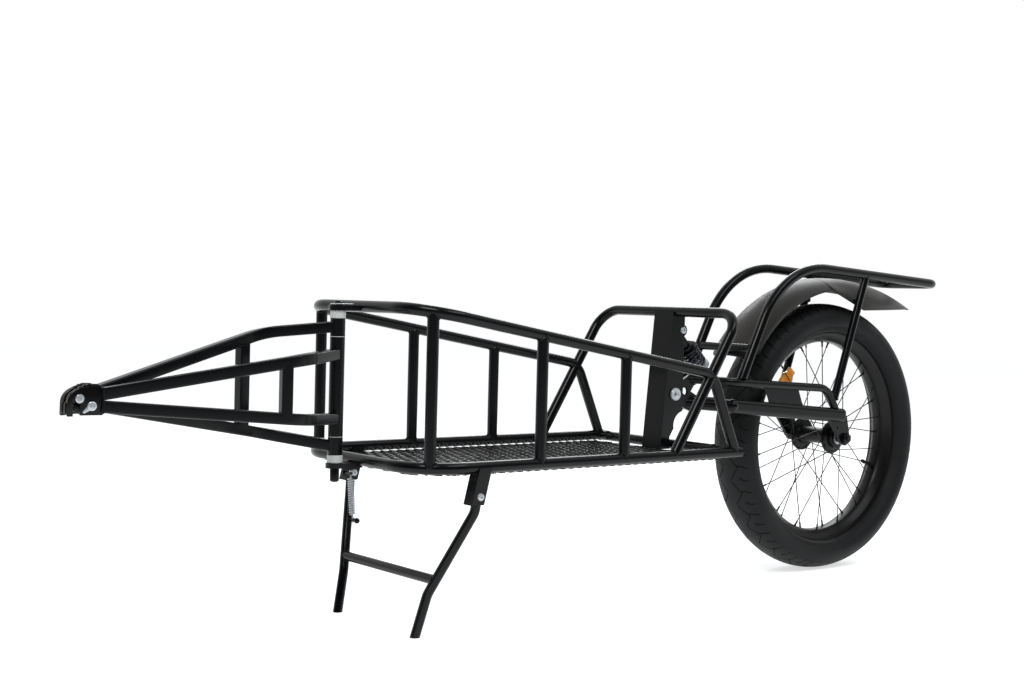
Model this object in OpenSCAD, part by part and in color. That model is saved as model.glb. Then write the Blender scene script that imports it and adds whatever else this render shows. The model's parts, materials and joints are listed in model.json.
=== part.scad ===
// Single wheel touring trailer: a tube cage behind a hinged two-arm tow fork,
// on a sprung swingarm with one fat wheel, a fender, a rack and a folding stand.
// Millimetres. +X points to the rear, +Y to the right-hand side, +Z up, floor at z = 0.

/* [Wheel] */
// Outside diameter of the tyre
tyre_d = 545; // [500:1:570]
// Width of the tyre
tyre_w = 98; // [80:1:104]
// Thickness of the tyre casing
tyre_wall = 5; // [3:0.5:8]
// Diameter of the opening inside the rim
rim_open_d = 390; // [360:1:400]
// Width of the rim over its flanges
rim_w = 52; // [48:1:58]
// Height of the tyre's seat above the rim's opening
bead_up = 14; // [10:1:17]
// Number of spokes
spoke_n = 36; // [28:4:36]
// Diameter of a spoke
spoke_d = 2; // [1.8:0.1:2.6]
// Diameter of a hub flange
flange_d = 68; // [60:1:76]
// Distance from the middle of the hub to each flange
flange_y = 40; // [34:1:44]
// Diameter of the hub barrel
barrel_d = 32; // [30:1:40]
// Diameter of the wheel axle
axle_d = 12; // [10:1:14]
// Distance between the insides of the dropouts
hub_gap = 135; // [130:1:142]

/* [Cage] */
// Outside diameter of the frame tubes
tube_d = 19; // [16:1:22]
// Wall of every round tube
tube_wall = 2; // [1:0.25:3]
// Distance between the centres of the two side rails
cage_w = 367; // [340:1:420]
// Distance from the wheel axle to the front of the cage
nose_back = 1123; // [1080:1:1180]
// Distance from the wheel axle to the rear of the cage
cage_back = 438; // [425:1:445]
// Height of the lower rail's centre
rail_z = 273; // [268:1:285]
// Height of the upper rail's centre at the nose
nose_z = 520; // [500:1:540]
// Fall of the upper rail from the nose backwards
rail_fall = 9.6; // [8.5:0.1:10.5]
// Radius of the rounded nose corners
nose_r = 80; // [60:1:100]
// Radius of the bend from the upper rail into the rear leg
leg_bend_r = 45; // [38:1:55]
// Distance from the axle to the bend at the rear of the upper rail
node_back = 500; // [492:1:508]
// Distances from the wheel axle to the middle uprights
mid_upright_back = 890; // [860:1:920]
// Distances from the wheel axle to the rear uprights
rear_upright_back = 707; // [680:1:730]
// Turn of the front uprights round the nose corner
front_upright_turn = 40; // [34:1:60]

/* [Roll hoop] */
// Distance from the axle to the hoop's feet
hoop_foot_back = 590; // [575:1:605]
// Distance from the axle to the hoop's top bar
hoop_top_back = 434; // [428:1:440]
// Height of the hoop's top bar
hoop_top_z = 522; // [505:1:540]
// Radius of the hoop's upper corners
hoop_r = 46; // [38:1:60]

/* [Centre post] */
// Width of the folded post
post_w = 50; // [46:1:56]
// Thickness of the folded sheet
post_t = 3; // [2:0.5:4]
// Lean of the post, top against foot
post_lean = 24; // [18:1:28]
// Depth of the post's side walls at the top
post_depth = 31; // [28:1:34]

/* [Floor] */
// Thickness of the expanded metal floor
floor_t = 2.5; // [2:0.5:4]
// Length of a diamond across the floor
mesh_long = 52; // [46:1:60]
// Length of a diamond along the floor
mesh_short = 30; // [26:1:36]
// Width of a strand of the mesh
mesh_strand = 4; // [3:0.5:6]

/* [Tow fork] */
// Distance from the wheel axle to the hinge pin
hinge_back = 1164; // [1158:1:1175]
// Outside diameter of the hinge tube
hinge_d = 24; // [22:1:26]
// Diameter of the hinge pin
pin_d = 12; // [10:1:14]
// Height of the top of the hinge tube
hinge_top_z = 500; // [494:1:503]
// Height of the bottom of the hinge tube
hinge_low_z = 282; // [280:1:286]
// Height of each outer hinge tube
knuckle_h = 28.5; // [27:0.5:32]
// Height of each end bush
bush_h = 13; // [8:1:16]
// Thickness of the two washers between the hinge tubes
washer_t = 1; // [0.5:0.25:2]
// Side of the square fork tube
arm_d = 18; // [16:1:20]
// Wall of the square fork tube
arm_wall = 1.5; // [1:0.25:2.5]
// Distance from the hinge forwards to the arm's bend
bend_fwd = 98; // [90:1:112]
// Distance of the arm's bend from the middle
bend_y = 66; // [60:1:74]
// Radius of the arm's bend
bend_r = 48; // [40:1:55]
// Distance from the hinge forwards to the front of the hitch head
head_fwd = 461; // [440:1:490]
// Distance of the front of the hitch head from the middle
head_y = 5.5; // [5.5:0.5:12]
// Width of the slot for the towing bicycle's axle stud
slot_w = 10.5; // [9:0.5:12]
// Thickness of the hitch head
head_t = 10; // [9:1:12]

/* [Swingarm] */
// Distance from the wheel axle forwards to the swingarm pivot
pivot_fwd = 437; // [434:1:441]
// Height of the swingarm pivot
pivot_z = 367; // [360:1:372]
// Outside diameter of the pivot tube
pivot_d = 28; // [26:1:30]
// Diameter of the pivot bolt
pivot_bolt_d = 12; // [10:1:12]
// Distance of the stays from the middle
stay_y = 72; // [70:1:76]
// Height of the flattened lower stay
stay_h = 28; // [24:1:30]
// Width of the flattened lower stay
stay_w = 18; // [16:1:20]
// Outside diameter of the round upper stay
upper_stay_d = 16; // [14:1:19]
// Thickness of the dropout plate
dropout_t = 6; // [5:1:8]
// Diameter of the threaded eyelet in each dropout
eyelet_d = 5; // [4:0.5:6]

/* [Shock] */
// Distance from the axle forwards to the shock's upper bolt
shock_top_fwd = 420; // [419:1:423]
// Height of the shock's upper bolt
shock_top_z = 487; // [480:1:492]
// Distance from the axle forwards to the shock's lower bolt
shock_low_fwd = 333; // [329:1:336]
// Height of the shock's lower bolt
shock_low_z = 400; // [397:1:404]
// Outside diameter of the coil spring
coil_d = 40; // [34:1:42]
// Wire of the coil spring
coil_wire = 5; // [4:0.5:6]
// Number of turns of the coil spring
coil_turns = 5; // [4:1:6]

/* [Rack and fender] */
// Outside diameter of the rack loop's tube
rack_d = 19; // [16:1:20]
// Height above the axle at which the rack's sloped and level lines meet
rack_up = 348.5; // [343:0.5:366]
// Distance from the axle to the rear of the rack
rack_rear = 291; // [260:1:320]
// Distance of the fender's crown from the axle
fender_r = 325; // [318:1:327]
// Fall of the fender's edges below its crown
fender_drop = 23; // [19:1:29]
// Half width of the fender
fender_y = 61; // [56:1:62]
// Thickness of the fender
fender_t = 3; // [2:0.5:4]
// Length of the tail behind the axle
tail_back = 287; // [260:1:300]

/* [Stand] */
// Outside diameter of the stand's tube
leg_d = 16; // [14:1:18]
// Distance from the axle to the stand's pivot
stand_back = 1018; // [1008:0.5:1025]
// Height of the stand's pivot
stand_z = 228; // [225:1:231]
// Distance of each foot from the middle
foot_y = 115; // [100:1:140]
// Diameter of the stand's pivot bolts
stand_bolt_d = 8; // [6:1:9]

/* [Clearances] */
// Radial clearance of a shaft in its bore
run_gap = 0.05; // [0.03:0.01:0.08]
// Clearance between pieces that slide past each other
slide_gap = 0.3; // [0.2:0.05:0.5]
// Gap left under a weld
weld_gap = 0.05; // [0.02:0.01:0.1]

/* [Hidden] */
$fn = 64;
black = [0.115, 0.12, 0.125];
dark = [0.07, 0.075, 0.08];
zinc = [0.72, 0.74, 0.76];
ivory = [0.86, 0.87, 0.85];
charcoal = [0.24, 0.23, 0.215];

axle_z = tyre_d / 2;
tube_r = tube_d / 2;
rail_y = cage_w / 2;
hinge_x = -hinge_back;
nose_x = -nose_back;
cage_x = -cage_back;
pivot_x = -pivot_fwd;
head_x = hinge_x - head_fwd;
bend_x = hinge_x - bend_fwd;
eps = 0.01;

// Front and rear of the whole trailer, which set the middle of its length
head_turn = atan2(bend_y - head_y, bend_x - head_x);
front_x = head_x - head_t / 2 * sin(head_turn);
rear_x = rack_rear + rack_d / 2;
mid_x = (front_x + rear_x) / 2;

// Vector helpers
function unit(v) = v / norm(v);
function rail_top_z(x) = nose_z - tan(rail_fall) * (x - nose_x);

// Turns the Z axis to direction d
module along(d) {
  rotate([0, acos(d[2] / norm(d)), atan2(d[1], d[0])]) children();
}

// Straight rod of radius r from a to b
module rod(a, b, r) {
  translate(a) along(b - a) cylinder(r = r, h = norm(b - a));
}

// Rod that starts and ends beyond a and b by the length more
module long_rod(a, b, r, more) {
  e = unit(b - a) * more;
  rod(a - e, b + e, r);
}

// Angle and normal of the corner at q between the lines p-q and q-s
function turn_at(p, q, s) = acos(unit(q - p) * unit(s - q));
function normal_at(p, q, s) = unit(cross(q - p, s - q));

// Length lost at a corner with bend radius b
function corner_cut(p, q, s, b) = b * tan(turn_at(p, q, s) / 2);

// Puts children at c, with their Z axis along w and their Y axis along v
module framed(c, v, w) {
  u = cross(v, w);
  multmatrix([[u[0], v[0], w[0], c[0]], [u[1], v[1], w[1], c[1]],
              [u[2], v[2], w[2], c[2]], [0, 0, 0, 1]]) children();
}

// Bend that starts upwards at the origin and turns towards +X; inner is the radius of its bore
module elbow(b, turn, r, inner = 0) {
  translate([b, 0, 0]) multmatrix([[-1, 0, 0, 0], [0, 0, 1, 0], [0, 1, 0, 0], [0, 0, 0, 1]])
    rotate_extrude(angle = turn) translate([b, 0]) ring(r, inner);
}
module ring(r, inner) {
  difference() {
    circle(r = r);
    if (inner > 0) circle(r = inner);
  }
}

// Stretch i of a bent rod, from its start at the origin upwards, and all that follows it
module stretch(p, b, r, inner, seam, i) {
  last = len(p) - 1;
  before = i == 0 ? 0 : corner_cut(p[i - 1], p[i], p[i + 1], b[i]);
  after = i == last - 1 ? 0 : corner_cut(p[i], p[i + 1], p[i + 2], b[i + 1]);
  h = norm(p[i + 1] - p[i]) - before - after;
  low = i == 0 ? 0 : seam;
  top = i == last - 1 ? h : h - seam;
  translate([0, 0, low]) linear_extrude(height = top - low) ring(r, inner);
  if (i < last - 1) {
    turn = turn_at(p[i], p[i + 1], p[i + 2]);
    n = normal_at(p[i], p[i + 1], p[i + 2]);
    m = i < last - 2 ? normal_at(p[i + 1], p[i + 2], p[i + 3]) : n;
    roll = atan2(cross(n, m) * unit(p[i + 2] - p[i + 1]), n * m);
    translate([0, 0, h]) {
      elbow(b[i + 1], turn, r, inner);
      translate([b[i + 1], 0, 0]) rotate([0, turn, 0]) translate([-b[i + 1], 0, 0])
        rotate([0, 0, roll]) stretch(p, b, r, inner, seam, i + 1);
    }
  }
}

// Bend of radius b at q between the lines p-q and q-s, for a rod of radius r
module bend(p, q, s, b, r) {
  framed(q - unit(q - p) * corner_cut(p, q, s, b), normal_at(p, q, s), unit(q - p))
    elbow(b, turn_at(p, q, s), r);
}

// Solid rod along the points p, with the bend radius b[i] at point i
module bent_rod(p, b, r, inner = 0, seam = 0) {
  framed(p[0], normal_at(p[0], p[1], p[2]), unit(p[1] - p[0])) stretch(p, b, r, inner, seam, 0);
}

// Hollow tube along the points, its stretches set end to end
bend_seam = 0.02;
module bent_tube(p, b, r, wall = tube_wall) {
  bent_rod(p, b, r, r - wall, bend_seam);
}

module straight_tube(a, b, r, wall = tube_wall) {
  difference() {
    rod(a, b, r);
    rod(a, b, r - wall);
  }
}

// Copies on the right-hand and left-hand side
module both_sides() {
  children();
  mirror([0, 1, 0]) children();
}

// Bar along Y from y0 to y1 at x, z
module y_bar(x, z, r, y0, y1) {
  translate([x, y0, z]) rotate([-90, 0, 0]) cylinder(r = r, h = y1 - y0);
}

// Flat outline in X and Z, from y0 to y1
module y_plate(y0, y1) {
  translate([0, y1, 0]) rotate([90, 0, 0]) linear_extrude(height = y1 - y0) children();
}

// Cage

function node_point(s) = [-node_back, s * rail_y, rail_top_z(-node_back)];
function leg_foot(s) = [cage_x, s * rail_y, rail_z];
upper_path = [leg_foot(1), node_point(1), [nose_x, rail_y, nose_z], [nose_x, -rail_y, nose_z],
              node_point(-1), leg_foot(-1)];
upper_bends = [0, leg_bend_r, nose_r, nose_r, leg_bend_r, 0];
rail_end_x = cage_x + tube_r + 5;
lower_path = [[rail_end_x, rail_y, rail_z], [nose_x, rail_y, rail_z],
              [nose_x, -rail_y, rail_z], [rail_end_x, -rail_y, rail_z]];
lower_bends = [0, nose_r, nose_r, 0];

// Space taken by the straight stretches of the lower and the upper rails
cut_r = tube_r + weld_gap;
cut_front_x = nose_x + nose_r;
module lower_rail_cut() {
  both_sides() rod([cut_front_x, rail_y, rail_z], [rail_end_x + 20, rail_y, rail_z], cut_r);
}
module upper_rail_cut() {
  both_sides() rod([cut_front_x, rail_y, rail_top_z(cut_front_x)], [-hoop_foot_back, rail_y,
                   rail_top_z(-hoop_foot_back)], cut_r);
}

module upper_hoop() {
  color(black) difference() {
    bent_tube(upper_path, upper_bends, tube_r);
    lower_rail_cut();
  }
}

module lower_hoop() {
  color(black) bent_tube(lower_path, lower_bends, tube_r);
}

module rear_cross_tube() {
  half = rail_y - cut_r;
  color(black) straight_tube([cage_x, -half, rail_z], [cage_x, half, rail_z], tube_r);
}

// Pair of uprights at x
module uprights(x) {
  color(black) difference() {
    both_sides() straight_tube([x, rail_y, rail_z], [x, rail_y, rail_top_z(x)], tube_r);
    lower_rail_cut();
    upper_rail_cut();
  }
}

front_upright_x = nose_x + nose_r * (1 - sin(front_upright_turn));
front_upright_y = rail_y - nose_r * (1 - cos(front_upright_turn));
module front_uprights() {
  low = [front_upright_x, front_upright_y, rail_z];
  top = [front_upright_x, front_upright_y, rail_top_z(front_upright_x)];
  color(black) both_sides() difference() {
    straight_tube(low, top, tube_r);
    bend(lower_path[0], lower_path[1], lower_path[2], nose_r, cut_r);
    bend(upper_path[1], upper_path[2], upper_path[3], nose_r, cut_r);
  }
}
module middle_uprights() { uprights(-mid_upright_back); }
module rear_uprights() { uprights(-rear_upright_back); }

hoop_path = [[-hoop_foot_back, rail_y, rail_z], [-hoop_top_back, rail_y, hoop_top_z],
             [-hoop_top_back, -rail_y, hoop_top_z], [-hoop_foot_back, -rail_y, rail_z]];
hoop_bends = [0, hoop_r, hoop_r, 0];
module roll_hoop() {
  color(black) difference() {
    bent_tube(hoop_path, hoop_bends, tube_r);
    lower_rail_cut();
    both_sides() bend(upper_path[0], upper_path[1], upper_path[2], leg_bend_r, cut_r);
  }
}

// Centre post: a sheet folded to a channel, open to the rear
post_foot_x = cage_x - tube_r - 23;
post_foot_z = rail_z - tube_r + 1;
post_top_x = -hoop_top_back - tube_r - post_t;
post_slope = (post_top_x - post_foot_x) / (hoop_top_z - post_foot_z);
function post_x(z) = post_foot_x + post_slope * (z - post_foot_z);
shock_top_x = -shock_top_fwd;
ear_r = 11;
step_z = pivot_z - 32;

module post_side_outline() {
  difference() {
    union() {
      polygon([[post_x(post_foot_z), post_foot_z], [cage_x - tube_r, post_foot_z],
               [cage_x - tube_r, rail_z + 14], [pivot_x + 21, step_z],
               [post_top_x + post_depth, hoop_top_z], [post_top_x, hoop_top_z]]);
      translate([shock_top_x, shock_top_z]) circle(r = ear_r);
    }
    translate([pivot_x + 26, step_z - 27]) circle(r = 27);
    translate([shock_top_x, shock_top_z]) circle(r = shock_bolt_d / 2);
    translate([pivot_x, pivot_z]) circle(r = pivot_bolt_d / 2);
  }
}

module centre_post() {
  color(black) difference() {
    union() {
      both_sides() y_plate(post_w / 2 - post_t, post_w / 2) post_side_outline();
      y_plate(-post_w / 2, post_w / 2)
        polygon([[post_x(post_foot_z), post_foot_z], [post_x(post_foot_z) + post_t, post_foot_z],
                 [post_top_x + post_t, hoop_top_z], [post_top_x, hoop_top_z]]);
    }
    y_bar(-hoop_top_back, hoop_top_z, tube_r, -rail_y, rail_y);
  }
}

// Expanded metal floor, welded under the rails
floor_z = rail_z - tube_r - floor_t;
floor_x0 = nose_x + 4;
floor_x1 = cage_x - tube_r - 1;
bracket_t = 3;
bracket_notch_y = leg_d / 2 + slide_gap + bracket_t + slide_gap;
module floor_outline(inset) {
  difference() {
    union() {
      translate([floor_x0 + nose_r, -rail_y + inset])
        square([floor_x1 - floor_x0 - nose_r - inset, cage_w - 2 * inset]);
      translate([floor_x0 + inset, -rail_y + nose_r])
        square([nose_r, cage_w - 2 * nose_r]);
      for (s = [-1, 1])
        translate([floor_x0 + nose_r, s * (rail_y - nose_r)]) circle(r = nose_r - inset);
    }
    for (s = [-1, 1])
      translate([bracket_x0 - slide_gap - inset, s * rail_y - bracket_notch_y - inset])
        square([bracket_len + 2 * slide_gap + 2 * inset, 2 * bracket_notch_y + 2 * inset]);
  }
}

mesh_rim = 7;
module floor_mesh() {
  open_x = mesh_short / 2 - mesh_strand * 0.6;
  open_y = mesh_long / 2 - mesh_strand * 1.1;
  rows = floor((floor_x1 - floor_x0) / mesh_short * 2);
  columns = floor(cage_w / mesh_long / 2) + 1;
  color(dark) translate([0, 0, floor_z]) linear_extrude(height = floor_t) difference() {
    floor_outline(0);
    intersection() {
      floor_outline(mesh_rim);
      union() for (i = [1 : rows - 1], j = [-columns : columns])
        translate([floor_x0 + i * mesh_short / 2, (j + (i % 2) / 2) * mesh_long])
          polygon([[-open_x, 0], [0, -open_y], [open_x, 0], [0, open_y]]);
    }
  }
}

// Hinge between cage and fork
hinge_r = hinge_d / 2;
pin_r = pin_d / 2;
lug_t = 8;
top_lug_z = hinge_top_z + bush_h + slide_gap;
low_lug_z = hinge_low_z - bush_h - slide_gap - lug_t;
module lug(z) {
  difference() {
    union() {
      translate([hinge_x, 0, z]) cylinder(r = hinge_r + 3, h = lug_t);
      translate([hinge_x, -hinge_r - 3, z])
        cube([nose_x - hinge_x + 2, 2 * hinge_r + 6, lug_t]);
    }
    translate([hinge_x, 0, z - 1]) cylinder(r = pin_r + run_gap, h = lug_t + 2);
    y_bar(nose_x, nose_z, tube_r, -rail_y, rail_y);
    y_bar(nose_x, rail_z, tube_r, -rail_y, rail_y);
  }
}
module hinge_lugs() {
  color(black) {
    lug(top_lug_z);
    lug(low_lug_z);
  }
}

// Ring round the hinge pin
module hinge_ring(z, r, h) {
  translate([hinge_x, 0, z]) difference() {
    cylinder(r = r, h = h);
    translate([0, 0, -1]) cylinder(r = pin_r + run_gap, h = h + 2);
  }
}

middle_low_z = hinge_low_z + knuckle_h + washer_t;
middle_top_z = hinge_top_z - knuckle_h - washer_t;
module hinge_bushes() {
  color(ivory) {
    hinge_ring(hinge_top_z + run_gap, hinge_r + 0.6, bush_h);
    hinge_ring(hinge_low_z - bush_h - run_gap, hinge_r + 0.6, bush_h);
    hinge_ring(middle_top_z + run_gap, hinge_r, washer_t - 2 * run_gap);
    hinge_ring(middle_low_z - washer_t + run_gap, hinge_r, washer_t - 2 * run_gap);
  }
}

clip_r = 1.25;
clip_z = top_lug_z + lug_t + slide_gap + clip_r;
pin_head_r = 7.5;
pin_head_h = 20;
module hinge_pin() {
  low = low_lug_z - slide_gap;
  color(dark) difference() {
    union() {
      translate([hinge_x, 0, low - eps]) cylinder(r = pin_r, h = clip_z + 5 - low);
      translate([hinge_x, 0, low - pin_head_h]) cylinder(r = pin_head_r, h = pin_head_h);
      translate([hinge_x, 0, low - pin_head_h - 2]) cylinder(r1 = pin_head_r - 2, r2 = pin_head_r, h = 2);
    }
    translate([hinge_x, 0, clip_z]) rotate([0, 90, 0])
      cylinder(r = clip_r + run_gap, h = 4 * pin_r, center = true);
  }
}

// Wire clip: one prong through the pin, one beside it, and the bow that joins them
clip_gap = pin_r + clip_r + slide_gap;
module pin_clip() {
  color(zinc) translate([hinge_x, 0, clip_z]) {
    translate([-14, 0, 0]) rotate([0, 90, 0]) cylinder(r = clip_r, h = 34);
    translate([-10, -clip_gap, 0]) rotate([0, 90, 0]) cylinder(r = clip_r, h = 30);
    translate([20, -clip_gap / 2, 0]) rotate([0, 0, -90])
      rotate_extrude(angle = 180) translate([clip_gap / 2, 0]) circle(r = clip_r);
  }
}

// Right-hand arm of the tow fork lies on the +Y side; the left-hand one is its mirror image
knee = [bend_x, bend_y];
root = [hinge_x, 0];
tip = [head_x, head_y];
head_len = 62;
arm_line = unit(tip - knee);
head_root = tip - arm_line * head_len;
line1 = atan2(knee[1] - root[1], knee[0] - root[0]);
line2 = atan2(arm_line[1], arm_line[0]) + 360;
knee_turn = line2 - line1;
knee_cut = bend_r * tan(knee_turn / 2);
dir1 = unit(knee - root);
knee_in = knee - dir1 * knee_cut;
knee_out = knee + arm_line * knee_cut;
knee_c = knee_in + bend_r * [-dir1[1], dir1[0]];

// Straight stretch of square tube from plan point a at height za to b at height zb
module bar(a, b, za, zb, s) {
  translate([a[0], a[1], 0]) rotate([0, 0, atan2(b[1] - a[1], b[0] - a[0])]) rotate([90, 0, 0])
    linear_extrude(height = s, center = true)
      polygon([[0, za - s / 2], [norm(b - a), zb - s / 2], [norm(b - a), zb + s / 2], [0, za + s / 2]]);
}

// Square rail of an arm, from the hinge to the head, with the height za at the hinge
module arm_path(za, zb, zc, s) {
  bar(root, knee_in, za, zb, s);
  translate([knee_c[0], knee_c[1], zb]) rotate([0, 0, line1 - 90])
    rotate_extrude(angle = knee_turn) translate([bend_r, 0]) square([s, s], center = true);
  bar(knee_out, head_root, zb, zc, s);
}
// Hollow straight stretch of a rail
module bar_tube(a, b, za, zb) {
  e = unit(b - a);
  rise = (zb - za) / norm(b - a);
  difference() {
    bar(a, b, za, zb, arm_d);
    bar(a - e, b + e, za - rise, zb + rise, arm_d - 2 * arm_wall);
  }
}
module arm_rail(za, zb, zc) {
  difference() {
    bar_tube(root, knee_in - dir1 * bend_seam, za, zb);
    translate([hinge_x, 0, 0]) cylinder(r = hinge_r, h = 2 * hinge_top_z);
  }
  translate([knee_c[0], knee_c[1], zb]) rotate([0, 0, line1 - 90])
    rotate_extrude(angle = knee_turn) translate([bend_r, 0]) difference() {
      square([arm_d, arm_d], center = true);
      square([arm_d - 2 * arm_wall, arm_d - 2 * arm_wall], center = true);
    }
  bar_tube(knee_out + arm_line * bend_seam, head_root, zb, zc);
}

// Heights of the rails at the hinge, at the bend and at the head
head_top_z = 387.5;
head_low_z = head_top_z - arm_d;
outer_top = [hinge_top_z - 4 - arm_d / 2, 472, head_top_z];
outer_low = [hinge_low_z + 4.5 + arm_d / 2, 317, head_low_z];
inner_top = [443, 435.5, head_top_z];
inner_low = [340, 346.5, head_low_z];

// Upright brace just ahead of the bend, between two rails
brace_at = knee_out + arm_line * (arm_d / 2 + 1);
brace_part = norm(brace_at - knee_out) / norm(head_root - knee_out);
module arm_brace(low, top) {
  difference() {
    translate([brace_at[0], brace_at[1], low[1]]) rotate([0, 0, line2]) difference() {
      translate([-arm_d / 2, -arm_d / 2, 0]) cube([arm_d, arm_d, top[1] - low[1]]);
      translate([-arm_d / 2 + arm_wall, -arm_d / 2 + arm_wall, -1])
        cube([arm_d - 2 * arm_wall, arm_d - 2 * arm_wall, top[1] - low[1] + 2]);
    }
    arm_path(low[0], low[1], low[2], arm_d);
    arm_path(top[0], top[1], top[2], arm_d);
  }
}

module knuckle(z, h) {
  hinge_ring(z, hinge_r, h);
}
module right_knuckles() {
  color(black) {
    knuckle(hinge_low_z, knuckle_h);
    knuckle(hinge_top_z - knuckle_h, knuckle_h);
  }
}
module left_knuckle() { color(black) knuckle(middle_low_z, middle_top_z - middle_low_z); }

// Places a shape drawn with x forwards from the front of the head and z up onto the right-hand arm
module at_head() {
  translate([tip[0], tip[1], 0]) rotate([0, 0, line2]) children();
}

head_z = 356.5;
slot_u = -24;
slot_top = 376;
screw_a = [-27.5, 386.5];
screw_b = [-46.5, 371];
screw_r = 2.5;
screw_head_r = 6;
screw_head_h = 3;
sleeve_r = 4.5;
hook_t = 5;
pocket_t = hook_t + 2 * slide_gap;
hook_low = 361;

module head_outline() {
  difference() {
    union() {
      translate([-head_len, head_z]) square([head_len - 10, 30]);
      translate([-12, head_z + 4]) square([12, 16]);
      translate([-30, 376]) circle(r = 29);
      translate([-head_len, 384]) square([20, 12.5]);
    }
    translate([-head_len - 40, 350]) square([40, 70]);
    translate([-head_len - 1, 340]) square([head_len + 2, head_z - 340]);
    translate([slot_u - slot_w / 2, head_z - 1]) square([slot_w, slot_top - head_z + 1]);
    translate([slot_u, slot_top]) circle(r = slot_w / 2);
  }
}
// Swept space of the hook inside the head
module hook_pocket() {
  y_plate(-pocket_t / 2, pocket_t / 2) {
    translate(screw_b) circle(r = 8.6);
    translate([screw_b[0] - 8.6, head_z - 1]) square([8.6 * 2, screw_b[1] - head_z + 1]);
    translate([screw_b[0], head_z - 1]) square([37, screw_b[1] - head_z + 1 - 2.5]);
  }
}
module hitch_head() {
  at_head() difference() {
    union() {
      y_plate(-head_t / 2, head_t / 2) head_outline();
      y_plate(-head_t / 2 - 1.2, head_t / 2 - 1)
        intersection() {
          head_outline();
          union() {
            translate([-31, 375]) circle(r = 26);
            translate([-head_len + 2, head_z + 2]) square([30, 34]);
          }
        }
    }
    hook_pocket();
    translate([screw_a[0], -head_t, screw_a[1]]) rotate([-90, 0, 0]) cylinder(r = screw_r, h = head_t * 1.5 - 2);
    translate([screw_b[0], 0, screw_b[1]]) rotate([-90, 0, 0]) cylinder(r = screw_r, h = head_t / 2 - 0.8);
    translate([screw_b[0], -head_t, screw_b[1]]) rotate([-90, 0, 0])
      cylinder(r = sleeve_r + run_gap, h = head_t);
  }
}
face_y = -head_t / 2 - 1.2;
lever_t = 1.6;
module hitch_screws() {
  at_head() {
    translate([screw_a[0], face_y - screw_head_h, screw_a[1]]) rotate([-90, 0, 0])
      cylinder(r = screw_head_r, h = screw_head_h);
    translate([screw_a[0], face_y - eps, screw_a[1]]) rotate([-90, 0, 0])
      cylinder(r = screw_r, h = head_t - 2);
    translate([screw_b[0], face_y - lever_t - 3 * run_gap - screw_head_h, screw_b[1]]) rotate([-90, 0, 0])
      cylinder(r = screw_head_r + 0.5, h = screw_head_h);
    translate([screw_b[0], face_y - lever_t - 3 * run_gap - eps, screw_b[1]]) rotate([-90, 0, 0])
      cylinder(r = screw_r, h = lever_t + 3 * run_gap + eps - face_y + head_t / 2 - 1);
  }
}
// Sprung latch: hook across the slot, sleeve through the cheek and release lever outside
module latch() {
  at_head() difference() {
    union() {
      y_plate(-hook_t / 2, hook_t / 2) {
        translate(screw_b) circle(r = 8);
        polygon([[screw_b[0], screw_b[1] - 8], [screw_b[0] + 6, hook_low],
                 [slot_u + slot_w / 2 + 4, hook_low], [slot_u + slot_w / 2 + 4, hook_low + 7],
                 [screw_b[0] + 7, hook_low + 7], screw_b]);
      }
      translate([screw_b[0], face_y - lever_t - run_gap, screw_b[1]]) rotate([-90, 0, 0])
        cylinder(r = sleeve_r, h = -face_y + lever_t + run_gap);
      y_plate(face_y - lever_t - run_gap, face_y - run_gap) {
        translate(screw_b) circle(r = 5.5);
        translate(screw_b) rotate([0, 0, -43]) translate([0, -2.5]) square([14, 5]);
        translate(screw_b) rotate([0, 0, -43]) translate([14, 0]) circle(r = 3.2);
      }
    }
    translate([screw_b[0], -head_t, screw_b[1]]) rotate([-90, 0, 0])
      cylinder(r = screw_r + run_gap, h = 2 * head_t);
  }
}

module right_top_rail() { color(black) arm_rail(outer_top[0], outer_top[1], outer_top[2]); }
module right_bottom_rail() { color(black) arm_rail(outer_low[0], outer_low[1], outer_low[2]); }
module right_brace() { color(black) arm_brace(outer_low, outer_top); }
module right_hitch_head() { color(dark) mirror_head() hitch_head(); }
module right_hitch_screws() { color(zinc) mirror_head() hitch_screws(); }
module right_latch() { color(zinc) mirror_head() latch(); }
module left_top_rail() {
  color(black) mirror([0, 1, 0]) arm_rail(inner_top[0], inner_top[1], inner_top[2]);
}
module left_bottom_rail() {
  color(black) mirror([0, 1, 0]) arm_rail(inner_low[0], inner_low[1], inner_low[2]);
}
module left_brace() { color(black) mirror([0, 1, 0]) arm_brace(inner_low, inner_top); }
module left_hitch_head() { color(dark) mirror([0, 1, 0]) mirror_head() hitch_head(); }
module left_hitch_screws() { color(zinc) mirror([0, 1, 0]) mirror_head() hitch_screws(); }
module left_latch() { color(zinc) mirror([0, 1, 0]) mirror_head() latch(); }

// The head is drawn with its outer face towards -Y of the arm's line, which is the outside
module mirror_head() { children(); }

// Folding stand
leg_r = leg_d / 2;
stand_x = -stand_back;
leg_x = stand_x;
leg_knee_z = 205;
leg_low = [stand_x - 46.5, 124, 68];
foot = [stand_x - 62.5, foot_y, 0];
leg_top_z = stand_z - 2;
bracket_x0 = stand_x - 6;
bracket_len = 28;
bracket_z = stand_z - 13;

// Side plate of a bracket, leaning backwards, with the front edge set back by inset
module bracket_outline(inset, depth) {
  polygon([[stand_x - 16 + inset, bracket_z], [stand_x - 16 + inset + depth, bracket_z],
           [stand_x - 1.5 + inset + depth, rail_z], [stand_x - 1.5 + inset, rail_z]]);
}

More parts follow.
